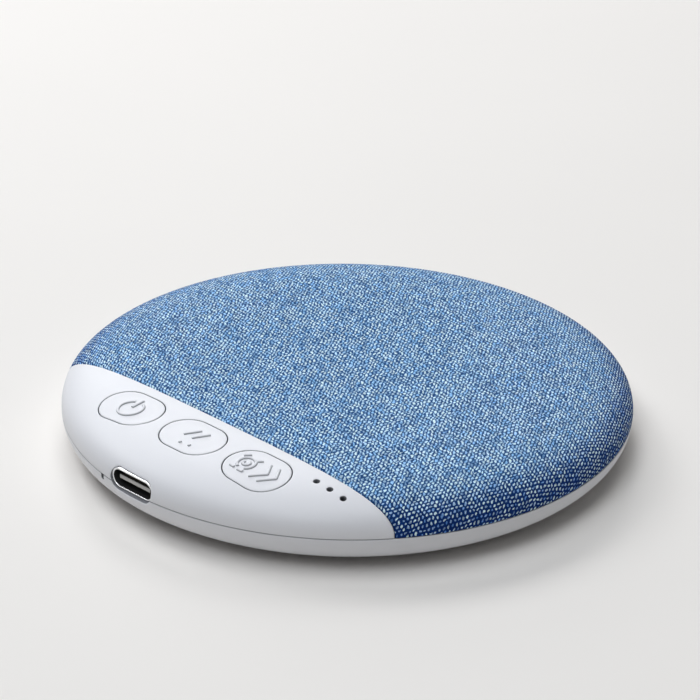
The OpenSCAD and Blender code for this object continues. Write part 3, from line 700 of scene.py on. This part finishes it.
signStrokes = [
    [arc(0, -0.2, 2.0, 117, 423), [(0, 0.1), (0, 2.45)]],
    [[(-1.6, -0.4), (-0.1, 1.95)], [(0.2, -0.45), (1.7, 2.0)],
     [(-0.5, -2.3), (-0.2, -2.3)], [(1.25, -2.1), (1.55, -2.1)]],
    [arc(-2.3, 0.1, 1.4, -60, 250), arc(-2.3, 0.1, 0.55, 150, 420),
     [(-4.1, 1.3), (-3.3, 2.2)], [(-1.3, 1.5), (-0.7, 2.1)], [(-3.9, -1.7), (-3.0, -1.75)],
     [(-2.2, -1.85), (-1.2, -1.8)],
     [(0.2, -2.0), (2.1, 0.1), (0.9, 2.0)], [(1.9, -2.0), (3.8, 0.2), (2.6, 2.1)]],
]


def strokeTree():
    s = signs
    t, source, result = newShape("raisedStrokes", [
        (label, "Float", s[label.lower()] * mm) for label in ("Width", "Height", "Step")])
    line = t.add("GeometryNodeMeshToCurve", {0: source["Geometry"]})
    line = t.add("GeometryNodeResampleCurve", {"Curve": line, "Length": source["Step"]}, mode="LENGTH")
    line = t.add("GeometryNodeSetCurveNormal", {"Curve": line}, mode="Z_UP")
    half = t.times(source["Width"], 0.5)
    along = t.add("GeometryNodeSplineParameter", output="Length")
    whole = t.add("GeometryNodeSplineLength", output="Length")
    fromEnd = t.math("MINIMUM", along, t.minus(whole, along))
    share = t.minus(1.0, t.math("DIVIDE", fromEnd, half, clamp=True))
    rounded = t.math("SQRT", t.minus(s["endRound"], t.times(share, share)))
    line = t.add("GeometryNodeSetCurveRadius", {"Curve": line, "Radius": rounded})
    circle = t.add("GeometryNodeCurvePrimitiveCircle", {"Resolution": s["sides"], "Radius": 1})
    size = t.add("ShaderNodeCombineXYZ", {"X": half, "Y": source["Height"], "Z": 1})
    section = t.add("GeometryNodeTransform", {"Geometry": circle, "Scale": size})
    swept = t.add("GeometryNodeCurveToMesh", {"Curve": line, "Profile Curve": section, "Fill Caps": True})
    return endShape(t, t.add("GeometryNodeSetShadeSmooth", {"Geometry": swept}), source, result)


def buildSign(name, strokes, place, tree, finish):
    s = signs
    points, edges = [], []
    for stroke in strokes:
        start = len(points)
        for x, y in resample(stroke, s["step"]) + place:
            points.append((x * mm, y * mm, float(keyTop(x, y, place)) * mm))
        edges += [(i, i + 1) for i in range(start, len(points) - 1)]
    made = bakeTree(name, pointObject(name + "Lines", points, edges), tree, finish)
    # Painted shadow at the foot of each stroke, where it leaves the key
    at = np.array([v.co[:] for v in made.data.vertices]) / mm
    rise = at[:, 2] - keyTop(at[:, 0], at[:, 1], place)
    markPaintedShade(made, s["footShade"] * np.clip(1 - rise / (s["height"] * s["footReach"]), 0, 1))
    return made


socket = {
    "middle": (-1.45, 6.95),
    "front": -44.25,
    "back": -37.15,
    "radius": 1.63,
    "straight": 5.68,
    "endPoints": 25,
    "wall": 0.3,
    "lip": 0.1,
    "lipOutside": (0.5, 1.0, math.pi / 2),
    "lipInside": (0, 0.6, 1.1, math.pi / 2),
    "backStep": 0.6,  # how far its back wall reaches in
    "sharp": 40,
    "paintedShadeFrom": 0.25,  # how far behind its front the inside gets a black finish, as painted shade
    "facingIn": 0.5,
    "bladeWidth": 6.7,
    "bladeThick": 0.7,
    "bladeFront": -43.75,
    "bladeRoot": 0.1,  # how far the blade goes into its block
    "bladeBevel": 0.12,
    "bladeSharp": 35,
    "paintedHighlightTo": 1.0,  # how far back the blade's front faces get a pale finish, as a painted highlight
    "facingFront": 0.6,
    "blockLength": 1.8,
    "blockRoom": (0.02, 0.05),
    "contactCount": 12,
    "contactPitch": 0.5,
    "contactStart": 0.5,
    "contactSize": (0.26, 3.2, 0.04),
}


def pillLoft(name, sections, closed=True):
    # Rings of pill outlines along Y. Each section is (y, how much smaller than the socket)
    s = socket
    t = np.linspace(-math.pi / 2, math.pi / 2, s["endPoints"])
    end = around(1, t)
    way = np.concatenate([end, -end])
    shift = np.repeat([1, -1], s["endPoints"]) * s["straight"] / 2
    points, count, rings = [], len(way), len(sections)
    for y, less in sections:
        ring = way * (s["radius"] - less)
        points.append(np.stack([ring[:, 0] + shift + s["middle"][0], np.full(count, y),
                                ring[:, 1] + s["middle"][1]], 1))
    faces = ringFaces(rings, count, wrap=closed)
    if not closed:
        faces += [tuple(range(count)), tuple(range(rings * count - 1, (rings - 1) * count - 1, -1))]
    made = makeObject(name, np.concatenate(points), faces)
    cleanUp(made.data)
    made.data.set_sharp_from_angle(angle=math.radians(s["sharp"]))
    return made


def buildSocket():
    s = socket
    lip, wall, front, back = s["lip"], s["wall"], s["front"], s["back"]
    outer = [(back, 0), (front + lip, 0)]
    outer += [(front + lip * (1 - math.sin(a)), lip * (1 - math.cos(a))) for a in s["lipOutside"]]
    inner = [(front + lip * (1 - math.cos(a)), wall - lip * (1 - math.sin(a))) for a in s["lipInside"]]
    inner += [(back - wall, wall), (back - wall, wall + s["backStep"]), (back, wall + s["backStep"])]
    return pillLoft("socketShell", outer + inner)


def buildBlade():
    s = socket
    x, z = s["middle"]
    front, back = s["back"] - s["wall"] - s["blockLength"], s["back"] - s["wall"] - s["blockRoom"][1]
    made = pillLoft("socketBlade", [(y, s["wall"] + s["blockRoom"][0]) for y in (front, back)], closed=False)
    work = bmesh.new()
    work.from_mesh(made.data)
    low, high = s["bladeFront"], front + s["bladeRoot"]
    size = Matrix.Diagonal((s["bladeWidth"] * mm, (high - low) * mm, s["bladeThick"] * mm, 1))
    place = Matrix.Translation((x * mm, (low + high) / 2 * mm, z * mm))
    box = bmesh.ops.create_cube(work, size=1, matrix=place @ size)
    edges = {e for v in box["verts"] for e in v.link_edges}
    bmesh.ops.bevel(work, geom=list(edges), offset=s["bladeBevel"] * mm, segments=3, profile=0.5,
                    affect="EDGES")
    work.to_mesh(made.data)
    work.free()
    made.data.polygons.foreach_set("use_smooth", [True] * len(made.data.polygons))
    made.data.set_sharp_from_angle(angle=math.radians(s["bladeSharp"]))
    return made


def contactTree():
    s = socket
    t, source, result = newShape("contactRow", [
        ("Count", "Int", s["contactCount"]), ("Pitch", "Float", s["contactPitch"] * mm),
        ("Size", "Vector", [v * mm for v in s["contactSize"]])])
    first = t.times(t.minus(source["Count"], 1.0), source["Pitch"], -0.5)
    start, step = (t.add("ShaderNodeCombineXYZ", {"X": x}) for x in (first, source["Pitch"]))
    row = t.add("GeometryNodeMeshLine", {"Count": source["Count"], "Start Location": start, "Offset": step})
    strip = t.add("GeometryNodeMeshCube", {"Size": source["Size"]})
    onRow = t.add("GeometryNodeInstanceOnPoints", {"Points": row, "Instance": strip})
    onPlaces = t.add("GeometryNodeInstanceOnPoints", {"Points": source["Geometry"], "Instance": onRow})
    return endShape(t, onPlaces, source, result)


def buildContacts(finish):
    s = socket
    x, z = s["middle"]
    y = s["bladeFront"] + s["contactStart"] + s["contactSize"][1] / 2
    places = [(x * mm, y * mm, (z + side * s["bladeThick"] / 2) * mm) for side in (-1, 1)]
    return bakeTree("socketContacts", pointObject("contactPlaces", places), contactTree(), finish)


feet = {
    "radius": 4.5,
    "top": 1.2,
    "round": 0.25,
    "roundSteps": 6,
    "hub": 0.4,  # radius of the innermost ring
    "rings": 9,
    "grooves": (1.5, 2.4, 3.3),
    "grooveDepth": 0.1,
    "grooveHalf": 0.16,
    "grooveMiddle": 0.06,
    "around": 72,
    "sharp": 50,
    "turn": 0.3,  # from one foot to the next
}


def footMesh():
    # One foot as rings, from the middle of its underside round its edge to the middle of its top
    f = feet
    count, flat = f["around"], f["radius"] - f["round"]
    steps = np.array([-f["grooveHalf"], -f["grooveMiddle"], 0, f["grooveMiddle"], f["grooveHalf"]])
    even = np.linspace(f["hub"], flat, f["rings"])
    radii = np.unique(np.concatenate([even] + [g + steps for g in f["grooves"]]))
    profile = []
    for r in radii:
        depth = max(max(0, 1 - abs(r - g) / f["grooveHalf"]) for g in f["grooves"])
        profile.append((r, f["grooveDepth"] * depth))
    for a in np.linspace(0, math.pi / 2, f["roundSteps"])[1:]:
        profile.append((flat + f["round"] * math.sin(a), f["round"] * (1 - math.cos(a))))
    profile.append((f["radius"], f["top"]))
    a = fullTurn(count)
    points = [np.column_stack([around(r, a), np.full(count, z)]) for r, z in profile]
    faces = ringFaces(len(profile), count)
    faces += [tuple(range(count - 1, -1, -1)), tuple((len(profile) - 1) * count + j for j in range(count))]
    made = makeObject("footPattern", np.concatenate(points), faces)
    made.data.set_sharp_from_angle(angle=math.radians(f["sharp"]))
    return made


def feetTree(pattern):
    t, source, result = newShape("feetOnPlaces", [("Turn", "Float", feet["turn"])])
    foot = t.add("GeometryNodeObjectInfo", {"Object": pattern}, "Geometry")
    turn = t.times(t.add("GeometryNodeInputIndex"), source["Turn"])
    turn = t.add("ShaderNodeCombineXYZ", {"Z": turn})
    onPlaces = t.add("GeometryNodeInstanceOnPoints", {
        "Points": source["Geometry"], "Instance": foot, "Rotation": turn})
    return endShape(t, onPlaces, source, result)


def buildFeet(finish):
    pattern = footMesh()
    places = pointObject("footPlaces", [(x * mm, y * mm, 0) for x, y in openings["footPlaces"]])
    made = bakeTree("rubberFeet", places, feetTree(pattern), finish)
    bpy.data.objects.remove(pattern)
    return made


finishOutputs = [("Color", "Color"), ("Roughness", "Float"), ("Height", "Float")]


def grainGroup():
    # Fine moulded or cast grain, with slow changes of shade
    t, source, result = newTree("surfaceGrain", "ShaderNodeTree", [
        ("Color", "Color", (0.8, 0.8, 0.8, 1)), ("Grain Scale", "Float", 4000), ("Shade", "Float", 0.06),
        ("Gloss", "Float", 0.4), ("Gloss Change", "Float", 0.1)], finishOutputs)
    where = t.add("ShaderNodeTexCoord", output="Object")
    fine = t.noise(where, source["Grain Scale"], 4, 0.6)
    slow = t.noise(where, 45.0, 2, 0.5)
    change = t.minus(t.plus(t.times(fine, 0.5), t.times(slow, 0.5)), 0.5)
    shade = t.math("MULTIPLY_ADD", change, source["Shade"], 1.0)
    t.put(result, {
        "Color": t.vector("SCALE", {0: source["Color"], "Scale": shade}),
        "Roughness": t.math("MULTIPLY_ADD", change, source["Gloss Change"], source["Gloss"]),
        "Height": fine})
    return t.tree


grain = grainGroup()


def newMaterial(name):
    made = bpy.data.materials.new(name)
    made.use_nodes = True
    return made, Wiring(made.node_tree), made.node_tree.nodes["Principled BSDF"]


def grainMaterial(name, color, gloss, glossChange=0.1, shade=0.1, scale=4000.0, depth=0.02, strength=0.2,
                  paintedShadeColor=None, **fixed):
    # A plain finish with surface grain. The fixed values go straight onto the shader. A colour for gaps,
    # where given, is painted shade, mixed in by each point's painted shade attribute
    made, t, shader = newMaterial(name)
    group = t.node("ShaderNodeGroup", {
        "Color": (*color, 1), "Grain Scale": scale, "Shade": shade, "Gloss": gloss,
        "Gloss Change": glossChange}, node_tree=grain).outputs
    base = group["Color"]
    if paintedShadeColor:
        recess = t.add("ShaderNodeAttribute", output="Fac", attribute_name="recess")
        base = t.mix("MIX", recess, base, paintedShadeColor)
    t.bump(shader, group["Height"], strength, depth)
    fixed = {label.replace("_", " "): value for label, value in fixed.items()}
    t.put(shader, {"Base Color": base, "Roughness": group["Roughness"], **fixed})
    return made


# A noise is given by its scale, detail and roughness, and a ramp by where it starts and
# ends and by its values there, 0 and 1 if they are left out
weave = {
    "rowWay": (0.2, 1.4),  # waves per mm across the rows
    "leanWay": (1.6, 0.95),  # waves per mm along the leaning lines of flecks
    "cellX": (-0.463, 0.683),  # from the two phases back to mm
    "cellY": (0.781, -0.098),
    "wobble": 0.4,
    "drift": (0.55, 2, 0.5),
    "driftMuch": 4.0,
    "jitter": (1.9, 2, 0.6),
    "jitterMuch": 2.4,
    "fleckLong": (0.66, 0.57),  # shape of a fleck, by its phases
    "fleckShort": (-0.70, 0.96),
    "fleckRamp": (0.6, 0.08),
    "longer": (0.2, 0.8, 0.85, 1.35),
    "longerAndWider": 2.2,
    "oddMuch": 0.6,  # what makes a fleck bright: its own chance, patches and streaks
    "patch": (0.3, 4, 0.65),
    "patchMuch": 0.5,
    "streak": (1.0, 3, 0.65),
    "streakTurns": (0.14, -2.11),
    "streakSize": (0.3, 2.2, 1),
    "streakMuch": 1.4,
    "bright": (0.8, 1.5),
    "strandSize": (1.25, 0.4, 1),  # yarn lies square to the panel's edge
    "yarn": (7.5, 3, 0.75),
    "yarnMuch": 1.5,
    "bodyRamp": (0.0, 0.5),
    "coreRamp": (0.2, 0.75),
    "paler": (0.1, 0.6, 0.5, 1.0),
    "tone": (0.32, 0.68, 0.7, 1.25),
    "roughness": (0.0, 1.0, 0.95, 0.78),
    "heights": (0.8, 0.3),  # of a fleck and of its yarn
    "deep": (0.011, 0.062, 0.20),
    "middle": (0.28, 0.59, 1.0),
    "light": (0.78, 0.96, 1.0),
    # painted shade at the rim: a darker, bluer tint and a lower tone
    "rimPaintedShadeTint": (0.31, 0.49, 0.84),
    "rimPaintedShadeTone": (0.0, 1.0, 1.0, 0.95),
    "rim": (39.0, 47.0),  # where the cloth stretches over the edge, in mm from the middle, and gets painted shade
    "rimThin": 0.3,  # how much of a fleck's body is lost there, which also darkens the rim as painted shade
    "rimShort": 1.3,  # how much flatter a fleck is there
    "pull": (33.0, 47.0, 1.0, 1.035),  # the weave gets denser there
    "calm": (33.0, 47.0, 1.0, 0.55),  # and wobbles less
    "bump": (0.7, 0.12),
}


def weaveGroup():
    # Flecks of light yarn on two darker blues, on a leaning lattice that wobbles a little
    w, half = weave, cloth["mapSize"] / 2
    inputs = [(label, "Color", (*w[label.lower()], 1)) for label in ("Deep", "Middle", "Light")]
    inputs.append(("Wobble", "Float", w["wobble"]))
    t, source, result = newTree("heatherWeave", "ShaderNodeTree", inputs, finishOutputs)
    inMm = t.vector("SCALE", {0: t.add("ShaderNodeUVMap", uv_map="weaveMap"), "Scale": cloth["mapSize"]})
    centred = t.vector("SUBTRACT", {0: inMm, 1: (half, half, 0)})
    far = t.vector("LENGTH", {0: centred}, "Value")
    rim = t.ramp(far, *w["rim"])
    where = t.vector("SCALE", {0: centred, "Scale": t.ramp(far, *w["pull"])})
    x, y, _ = t.split("XYZ", where)
    wobble = t.times(source["Wobble"], t.ramp(far, *w["calm"]))
    drift, jitter = (t.split("Color", t.noise(where, *w[kind], "Color")) for kind in ("drift", "jitter"))

    def along(way, a, b):
        return t.plus(t.times(a, way[0]), t.times(b, way[1]))

    def phase(way, channel):
        moved = [t.times(t.minus(noise[channel], 0.5), wobble, w[much])
                 for noise, much in ((drift, "driftMuch"), (jitter, "jitterMuch"))]
        return t.plus(along(way, x, y), t.plus(*moved))

    rows, lean = phase(w["rowWay"], 0), phase(w["leanWay"], 1)
    row, column = t.math("ROUND", rows), t.math("ROUND", lean)
    u, v = t.minus(rows, row), t.minus(lean, column)
    cell = t.add("ShaderNodeCombineXYZ", {"X": row, "Y": column})
    chance = t.add("ShaderNodeTexWhiteNoise", {"Vector": cell}, "Color", noise_dimensions="2D")
    odds = t.split("Color", chance)
    longer = t.ramp(odds[0], *w["longer"])
    toRim = t.split("XYZ", t.vector("NORMALIZE", {0: centred}))
    radial = t.plus(t.times(along(w["cellX"], u, v), toRim[0]), t.times(along(w["cellY"], u, v), toRim[1]))
    offset = [t.times(along(w["fleckShort"], u, v), t.minus(w["longerAndWider"], longer)),
              t.times(radial, t.times(rim, w["rimShort"])),
              t.times(along(w["fleckLong"], u, v), longer)]
    fleck = t.ramp(t.math("SQRT", t.plus(*[t.times(part, part) for part in offset])), *w["fleckRamp"])
    patch = t.noise(where, *w["patch"])
    ways = [t.add("ShaderNodeMapping", {"Vector": where, "Rotation": (0, 0, turn), "Scale": w["streakSize"]})
            for turn in w["streakTurns"]]
    broken = t.plus(*[t.times(t.noise(way, *w["streak"]), 0.5) for way in ways])
    lively = t.plus(t.times(odds[1], w["oddMuch"]),
                    t.plus(t.times(patch, w["patchMuch"]), t.times(broken, w["streakMuch"])))
    yarn = t.noise(t.add("ShaderNodeMapping", {"Vector": where, "Scale": w["strandSize"]}), *w["yarn"])
    ragged = t.plus(fleck, t.times(t.minus(yarn, 0.5), w["yarnMuch"]))
    core = t.times(t.ramp(ragged, *w["coreRamp"]), t.ramp(lively, *w["bright"]))
    # Towards the rim the flecks thin out and the cloth gets a darker, bluer tint and tone as painted shade
    body = t.ramp(t.minus(ragged, t.times(rim, w["rimThin"])), *w["bodyRamp"])
    base = t.mix("MIX", t.times(body, t.ramp(odds[2], *w["paler"])), source["Deep"], source["Middle"])
    base = t.mix("MULTIPLY", rim, base, w["rimPaintedShadeTint"])
    both = t.mix("MIX", core, base, source["Light"])
    tone = t.times(t.ramp(broken, *w["tone"]), t.ramp(rim, *w["rimPaintedShadeTone"]))
    t.put(result, {
        "Color": t.vector("SCALE", {0: both, "Scale": tone}),
        "Roughness": t.ramp(fleck, *w["roughness"]),
        "Height": along(w["heights"], fleck, yarn)})
    return t.tree


def clothMaterial():
    made, t, shader = newMaterial("blueCloth")
    group = t.node("ShaderNodeGroup", node_tree=weaveGroup()).outputs
    t.bump(shader, group["Height"], *weave["bump"])
    t.put(shader, {"Base Color": group["Color"], "Roughness": group["Roughness"], "Specular IOR Level": 0.05,
                   "Sheen Weight": 0.03, "Sheen Roughness": 0.5, "Sheen Tint": (0.6, 0.75, 1.0, 1)})
    return made


def boardMaterial():
    # Solder mask with tracks running in two directions
    made, t, shader = newMaterial("board")
    tracks = t.node("ShaderNodeTexBrick", {
        "Vector": t.add("ShaderNodeTexCoord", output="Object"), "Scale": 260, "Mortar Size": 0.02,
        "Color1": (0.012, 0.11, 0.045, 1), "Color2": (0.015, 0.13, 0.055, 1),
        "Mortar": (0.05, 0.24, 0.1, 1)}).outputs
    t.bump(shader, tracks["Fac"], strength=0.4, depth=0.03)
    t.put(shader, {"Base Color": tracks["Color"], "Roughness": 0.35})
    return made


# Colour, gloss, its change, change of shade, the grain's scale, depth in mm and strength, and
# the colour of painted shade in gaps
grained = {
    "white_plastic": ((0.748, 0.755, 0.785), 0.46, 0.12, 0.05, 5200.0, 0.012, 0.25, (0.06, 0.063, 0.08)),
    "switch_plastic": ((0.02, 0.02, 0.022), 0.5),
    "plunger_plastic": ((0.6, 0.6, 0.58), 0.45),
    "screw_steel": ((0.5, 0.51, 0.53), 0.32, 0.2, 0.15, 2500.0, 0.01),
    "socket_steel": ((0.72, 0.73, 0.75), 0.22, 0.12, 0.1, 2500.0, 0.006, 0.15),
    "blade_plastic": ((0.012, 0.012, 0.013), 0.5),
    "shroud_rubber": ((0.012, 0.012, 0.012), 0.8),
    "chip_plastic": ((0.018, 0.018, 0.02), 0.55, 0.1, 0.1, 2500.0),
    "small_part_body": ((0.34, 0.24, 0.13), 0.5, 0.1, 0.1, 2500.0),
    "lead_plastic": ((0.55, 0.02, 0.02), 0.4),
    "cell_foil": ((0.62, 0.63, 0.66), 0.28, 0.3, 0.2, 350.0, 0.15, 0.5),
    "foam": ((0.03, 0.03, 0.032), 0.95, 0.05, 0.3, 1800.0, 0.3, 0.8),
    "frame_steel": ((0.12, 0.12, 0.125), 0.4, 0.15, 0.1, 2500.0),
    "magnet": ((0.45, 0.45, 0.47), 0.25),
    "coil_wire": ((0.6, 0.24, 0.09), 0.3, 0.1, 0.1, 1800.0),
    "cone_paper": ((0.06, 0.06, 0.06), 0.85, 0.1, 0.25, 1200.0, 0.1, 0.6),
    "surround_rubber": ((0.015, 0.015, 0.016), 0.55),
    "foot_rubber": ((0.09, 0.09, 0.095), 0.8, 0.1, 0.15, 2200.0, 0.05, 0.5),
}
metals = {"screw_steel": 1.0, "socket_steel": 1.0, "cell_foil": 0.9, "frame_steel": 0.8, "magnet": 1.0,
          "coil_wire": 1.0}
finishes = {
    "blue_cloth": clothMaterial(),
    "board": boardMaterial(),
    "lamp": grainMaterial("lampResin", (0.01, 0.01, 0.011), 0.45, Coat_Weight=0.15),
}
for slot, values in grained.items():
    first, *rest = slot.split("_")
    name = first + "".join(word.title() for word in rest)
    finishes[slot] = grainMaterial(name, *values, Metallic=metals.get(slot, 0.0))
# The blade's front faces get this pale finish as a painted highlight
bladeWhite = grainMaterial("bladeWhite", (0.55, 0.54, 0.52), 0.35)
contactGold = grainMaterial("contactGold", (0.9, 0.65, 0.3), 0.25, Metallic=1.0)
print("finishes:", len(finishes))


def coat(piece, finish):
    piece.data.materials.clear()
    piece.data.materials.append(finish)


for part in frame["record"]["subparts"]:
    coat(frame["nodes"][part["node"]], finishes[part["material_slot"]])


def dress(piece, body, slot, nodes=(), finish=None):
    coat(piece, finish or finishes[slot])
    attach(piece, body)
    if nodes:
        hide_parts(*nodes)


def paint(piece, finish, test):
    # Gives a second finish to the faces that pass the test
    piece.data.materials.append(finish)
    for face in piece.data.polygons:
        if test(face):
            face.material_index = 1


# Inner faces of the socket behind its front, which get a black finish as painted shade
def paintedShadeInSocket(face):
    s = socket
    aside = (face.center.x / mm - s["middle"][0]) / (s["straight"] / 2)
    outward = Vector((aside - max(-1, min(1, aside)), 0, face.center.z / mm - s["middle"][1]))
    behind = face.center.y > (s["front"] + s["paintedShadeFrom"]) * mm
    return behind and face.normal.dot(outward) < 0 and face.normal.y > -s["facingIn"]


# Front faces of the blade, which get the pale finish as a painted highlight
def paintedHighlightOnBlade(face):
    s = socket
    return face.center.y < (s["bladeFront"] + s["paintedHighlightTo"]) * mm and face.normal.y < -s["facingFront"]


dress(topShell, "case", "white_plastic", ["top_shell"])
dress(lowerShell, "case", "white_plastic", ["lower_shell"])
dress(clothCover, "case", "blue_cloth", ["cloth_cover"])
tree, white = strokeTree(), finishes["white_plastic"]
for name, key, strokes, place in zip(keys["names"], keyPieces, signStrokes, openings["keyPlaces"]):
    dress(key, name + "_button", "white_plastic", [name + "_key"])
    sign = buildSign(name + "Sign", strokes, place, tree, white)
    dress(sign, name + "_button", "white_plastic")
    print("sign:", sign.name, len(sign.data.polygons))
shell = buildSocket()
dress(shell, "case", "socket_steel", ["usb_shell"])
paint(shell, finishes["blade_plastic"], paintedShadeInSocket)
blade = buildBlade()
dress(blade, "case", "blade_plastic", ["usb_blade"])
paint(blade, bladeWhite, paintedHighlightOnBlade)
dress(buildContacts(contactGold), "case", "socket_steel", finish=contactGold)
dress(buildFeet(finishes["foot_rubber"]), "case", "foot_rubber",
      ["foot_front_left", "foot_front_right", "foot_back_left", "foot_back_right"])


stage = {
    "floor": (0.895, 0.865, 0.825),
    "floorHalf": 3.0,
    "floorTones": (0.975, 1.02),
    "floorSpots": (9.0, 2, 0.5),
    "lights": {  # turn and rise in degrees, size, power and colour
        "leftBox": (180, 42, 0.38, 2.2, (0.97, 0.977, 1.0)),
        "backBox": (138, 40, 0.34, 1.9, (0.97, 0.977, 1.0)),
        "lowBox": (150, 20, 0.26, 0.9, (0.97, 0.977, 1.0)),
        "overheadBox": (0, 89, 0.7, 2.5, (0.935, 0.965, 1.0)),
        "fillBox": (216, 65, 0.42, 0.75, (0.935, 0.965, 1.0)),
        "frontBox": (287, 60, 0.42, 1.84, (0.905, 0.945, 1.0)),
    },
    "lightFar": 0.9,
    "glow": 0.75,
    "glowRange": (0.25, 1.0),
    "sky": (0.95, 0.965, 1.0),
    "skyStrength": 0.05,
    "background": (0.93, 0.92, 0.905),
}


def buildFloor():
    half = stage["floorHalf"]
    corners = [(-half, -half, 0), (half, -half, 0), (half, half, 0), (-half, half, 0)]
    floor = show(pointObject("floor", corners, faces=[(0, 1, 2, 3)]))
    made, t, shader = newMaterial("floorPaper")
    where = t.add("ShaderNodeTexCoord", output="Object")
    low, high = (tuple(c * tone for c in stage["floor"]) for tone in stage["floorTones"])
    paper = t.mix("MIX", t.noise(where, *stage["floorSpots"]), low, high)
    # Far out the floor glows instead of being lit, so that it is pale there and doesn't clip
    glow = t.ramp(t.vector("LENGTH", {0: where}, "Value"), *stage["glowRange"])
    t.put(shader, {
        "Base Color": t.mix("MIX", glow, paper, (0, 0, 0)),
        "Emission Color": t.mix("MIX", glow, (0, 0, 0), stage["background"]),
        "Emission Strength": stage["glow"], "Roughness": 0.9, "Specular IOR Level": 0.2})
    floor.data.materials.append(made)


def buildLights():
    for name, (turn, rise, size, power, color) in stage["lights"].items():
        box = bpy.data.lights.new(name, "AREA")
        box.shape = "DISK"
        box.size = size
        box.energy = power
        box.color = color
        lamp = show(bpy.data.objects.new(name, box))
        turn, rise = math.radians(turn), math.radians(rise)
        way = Vector((math.cos(turn) * math.cos(rise), math.sin(turn) * math.cos(rise), math.sin(rise)))
        lamp.location = way * stage["lightFar"]
        lamp.rotation_euler = way.to_track_quat("Z", "Y").to_euler()


def buildWorld():
    # The camera and mirrored rays see a plain background, and a weak sky lights the rest
    world = bpy.data.worlds.new("room")
    world.use_nodes = True
    t, nodes = Wiring(world.node_tree), world.node_tree.nodes
    sky = nodes["Background"]
    t.put(sky, {"Color": (*stage["sky"], 1), "Strength": stage["skyStrength"]})
    plain = t.add("ShaderNodeBackground", {"Color": (*stage["background"], 1)})
    rays = t.node("ShaderNodeLightPath").outputs
    mirrored = t.math("MAXIMUM", rays["Is Glossy Ray"], rays["Is Transmission Ray"])
    either = t.math("MAXIMUM", rays["Is Camera Ray"], mirrored)
    mixed = t.add("ShaderNodeMixShader", {0: either, 1: sky.outputs[0], 2: plain})
    t.put(nodes["World Output"], {"Surface": mixed})
    bpy.context.scene.world = world


view = {
    "place": (0.272986, -0.283921, 0.20901),
    "turn": 0.765,
    "rise": 0.459,
    "roll": 0.013,
    "lens": 144.1,
    "near": 0.01,
}


def buildCamera():
    turn, rise, roll = view["turn"], view["rise"], view["roll"]
    back = Vector((math.sin(turn) * math.cos(rise), -math.cos(turn) * math.cos(rise), math.sin(rise)))
    right = Vector((math.cos(turn), math.sin(turn), 0))
    up = back.cross(right)
    x = math.cos(roll) * right + math.sin(roll) * up
    y = -math.sin(roll) * right + math.cos(roll) * up
    data = bpy.data.cameras.new("camera")
    data.lens = view["lens"]
    data.clip_start = view["near"]
    camera = show(bpy.data.objects.new("camera", data))
    camera.matrix_world = Matrix.Translation(view["place"]) @ Matrix((x, y, back)).transposed().to_4x4()
    bpy.context.scene.camera = camera


buildFloor()
buildLights()
buildWorld()
buildCamera()
bpy.context.scene.view_settings.view_transform = "Standard"
print("stage and camera ready")
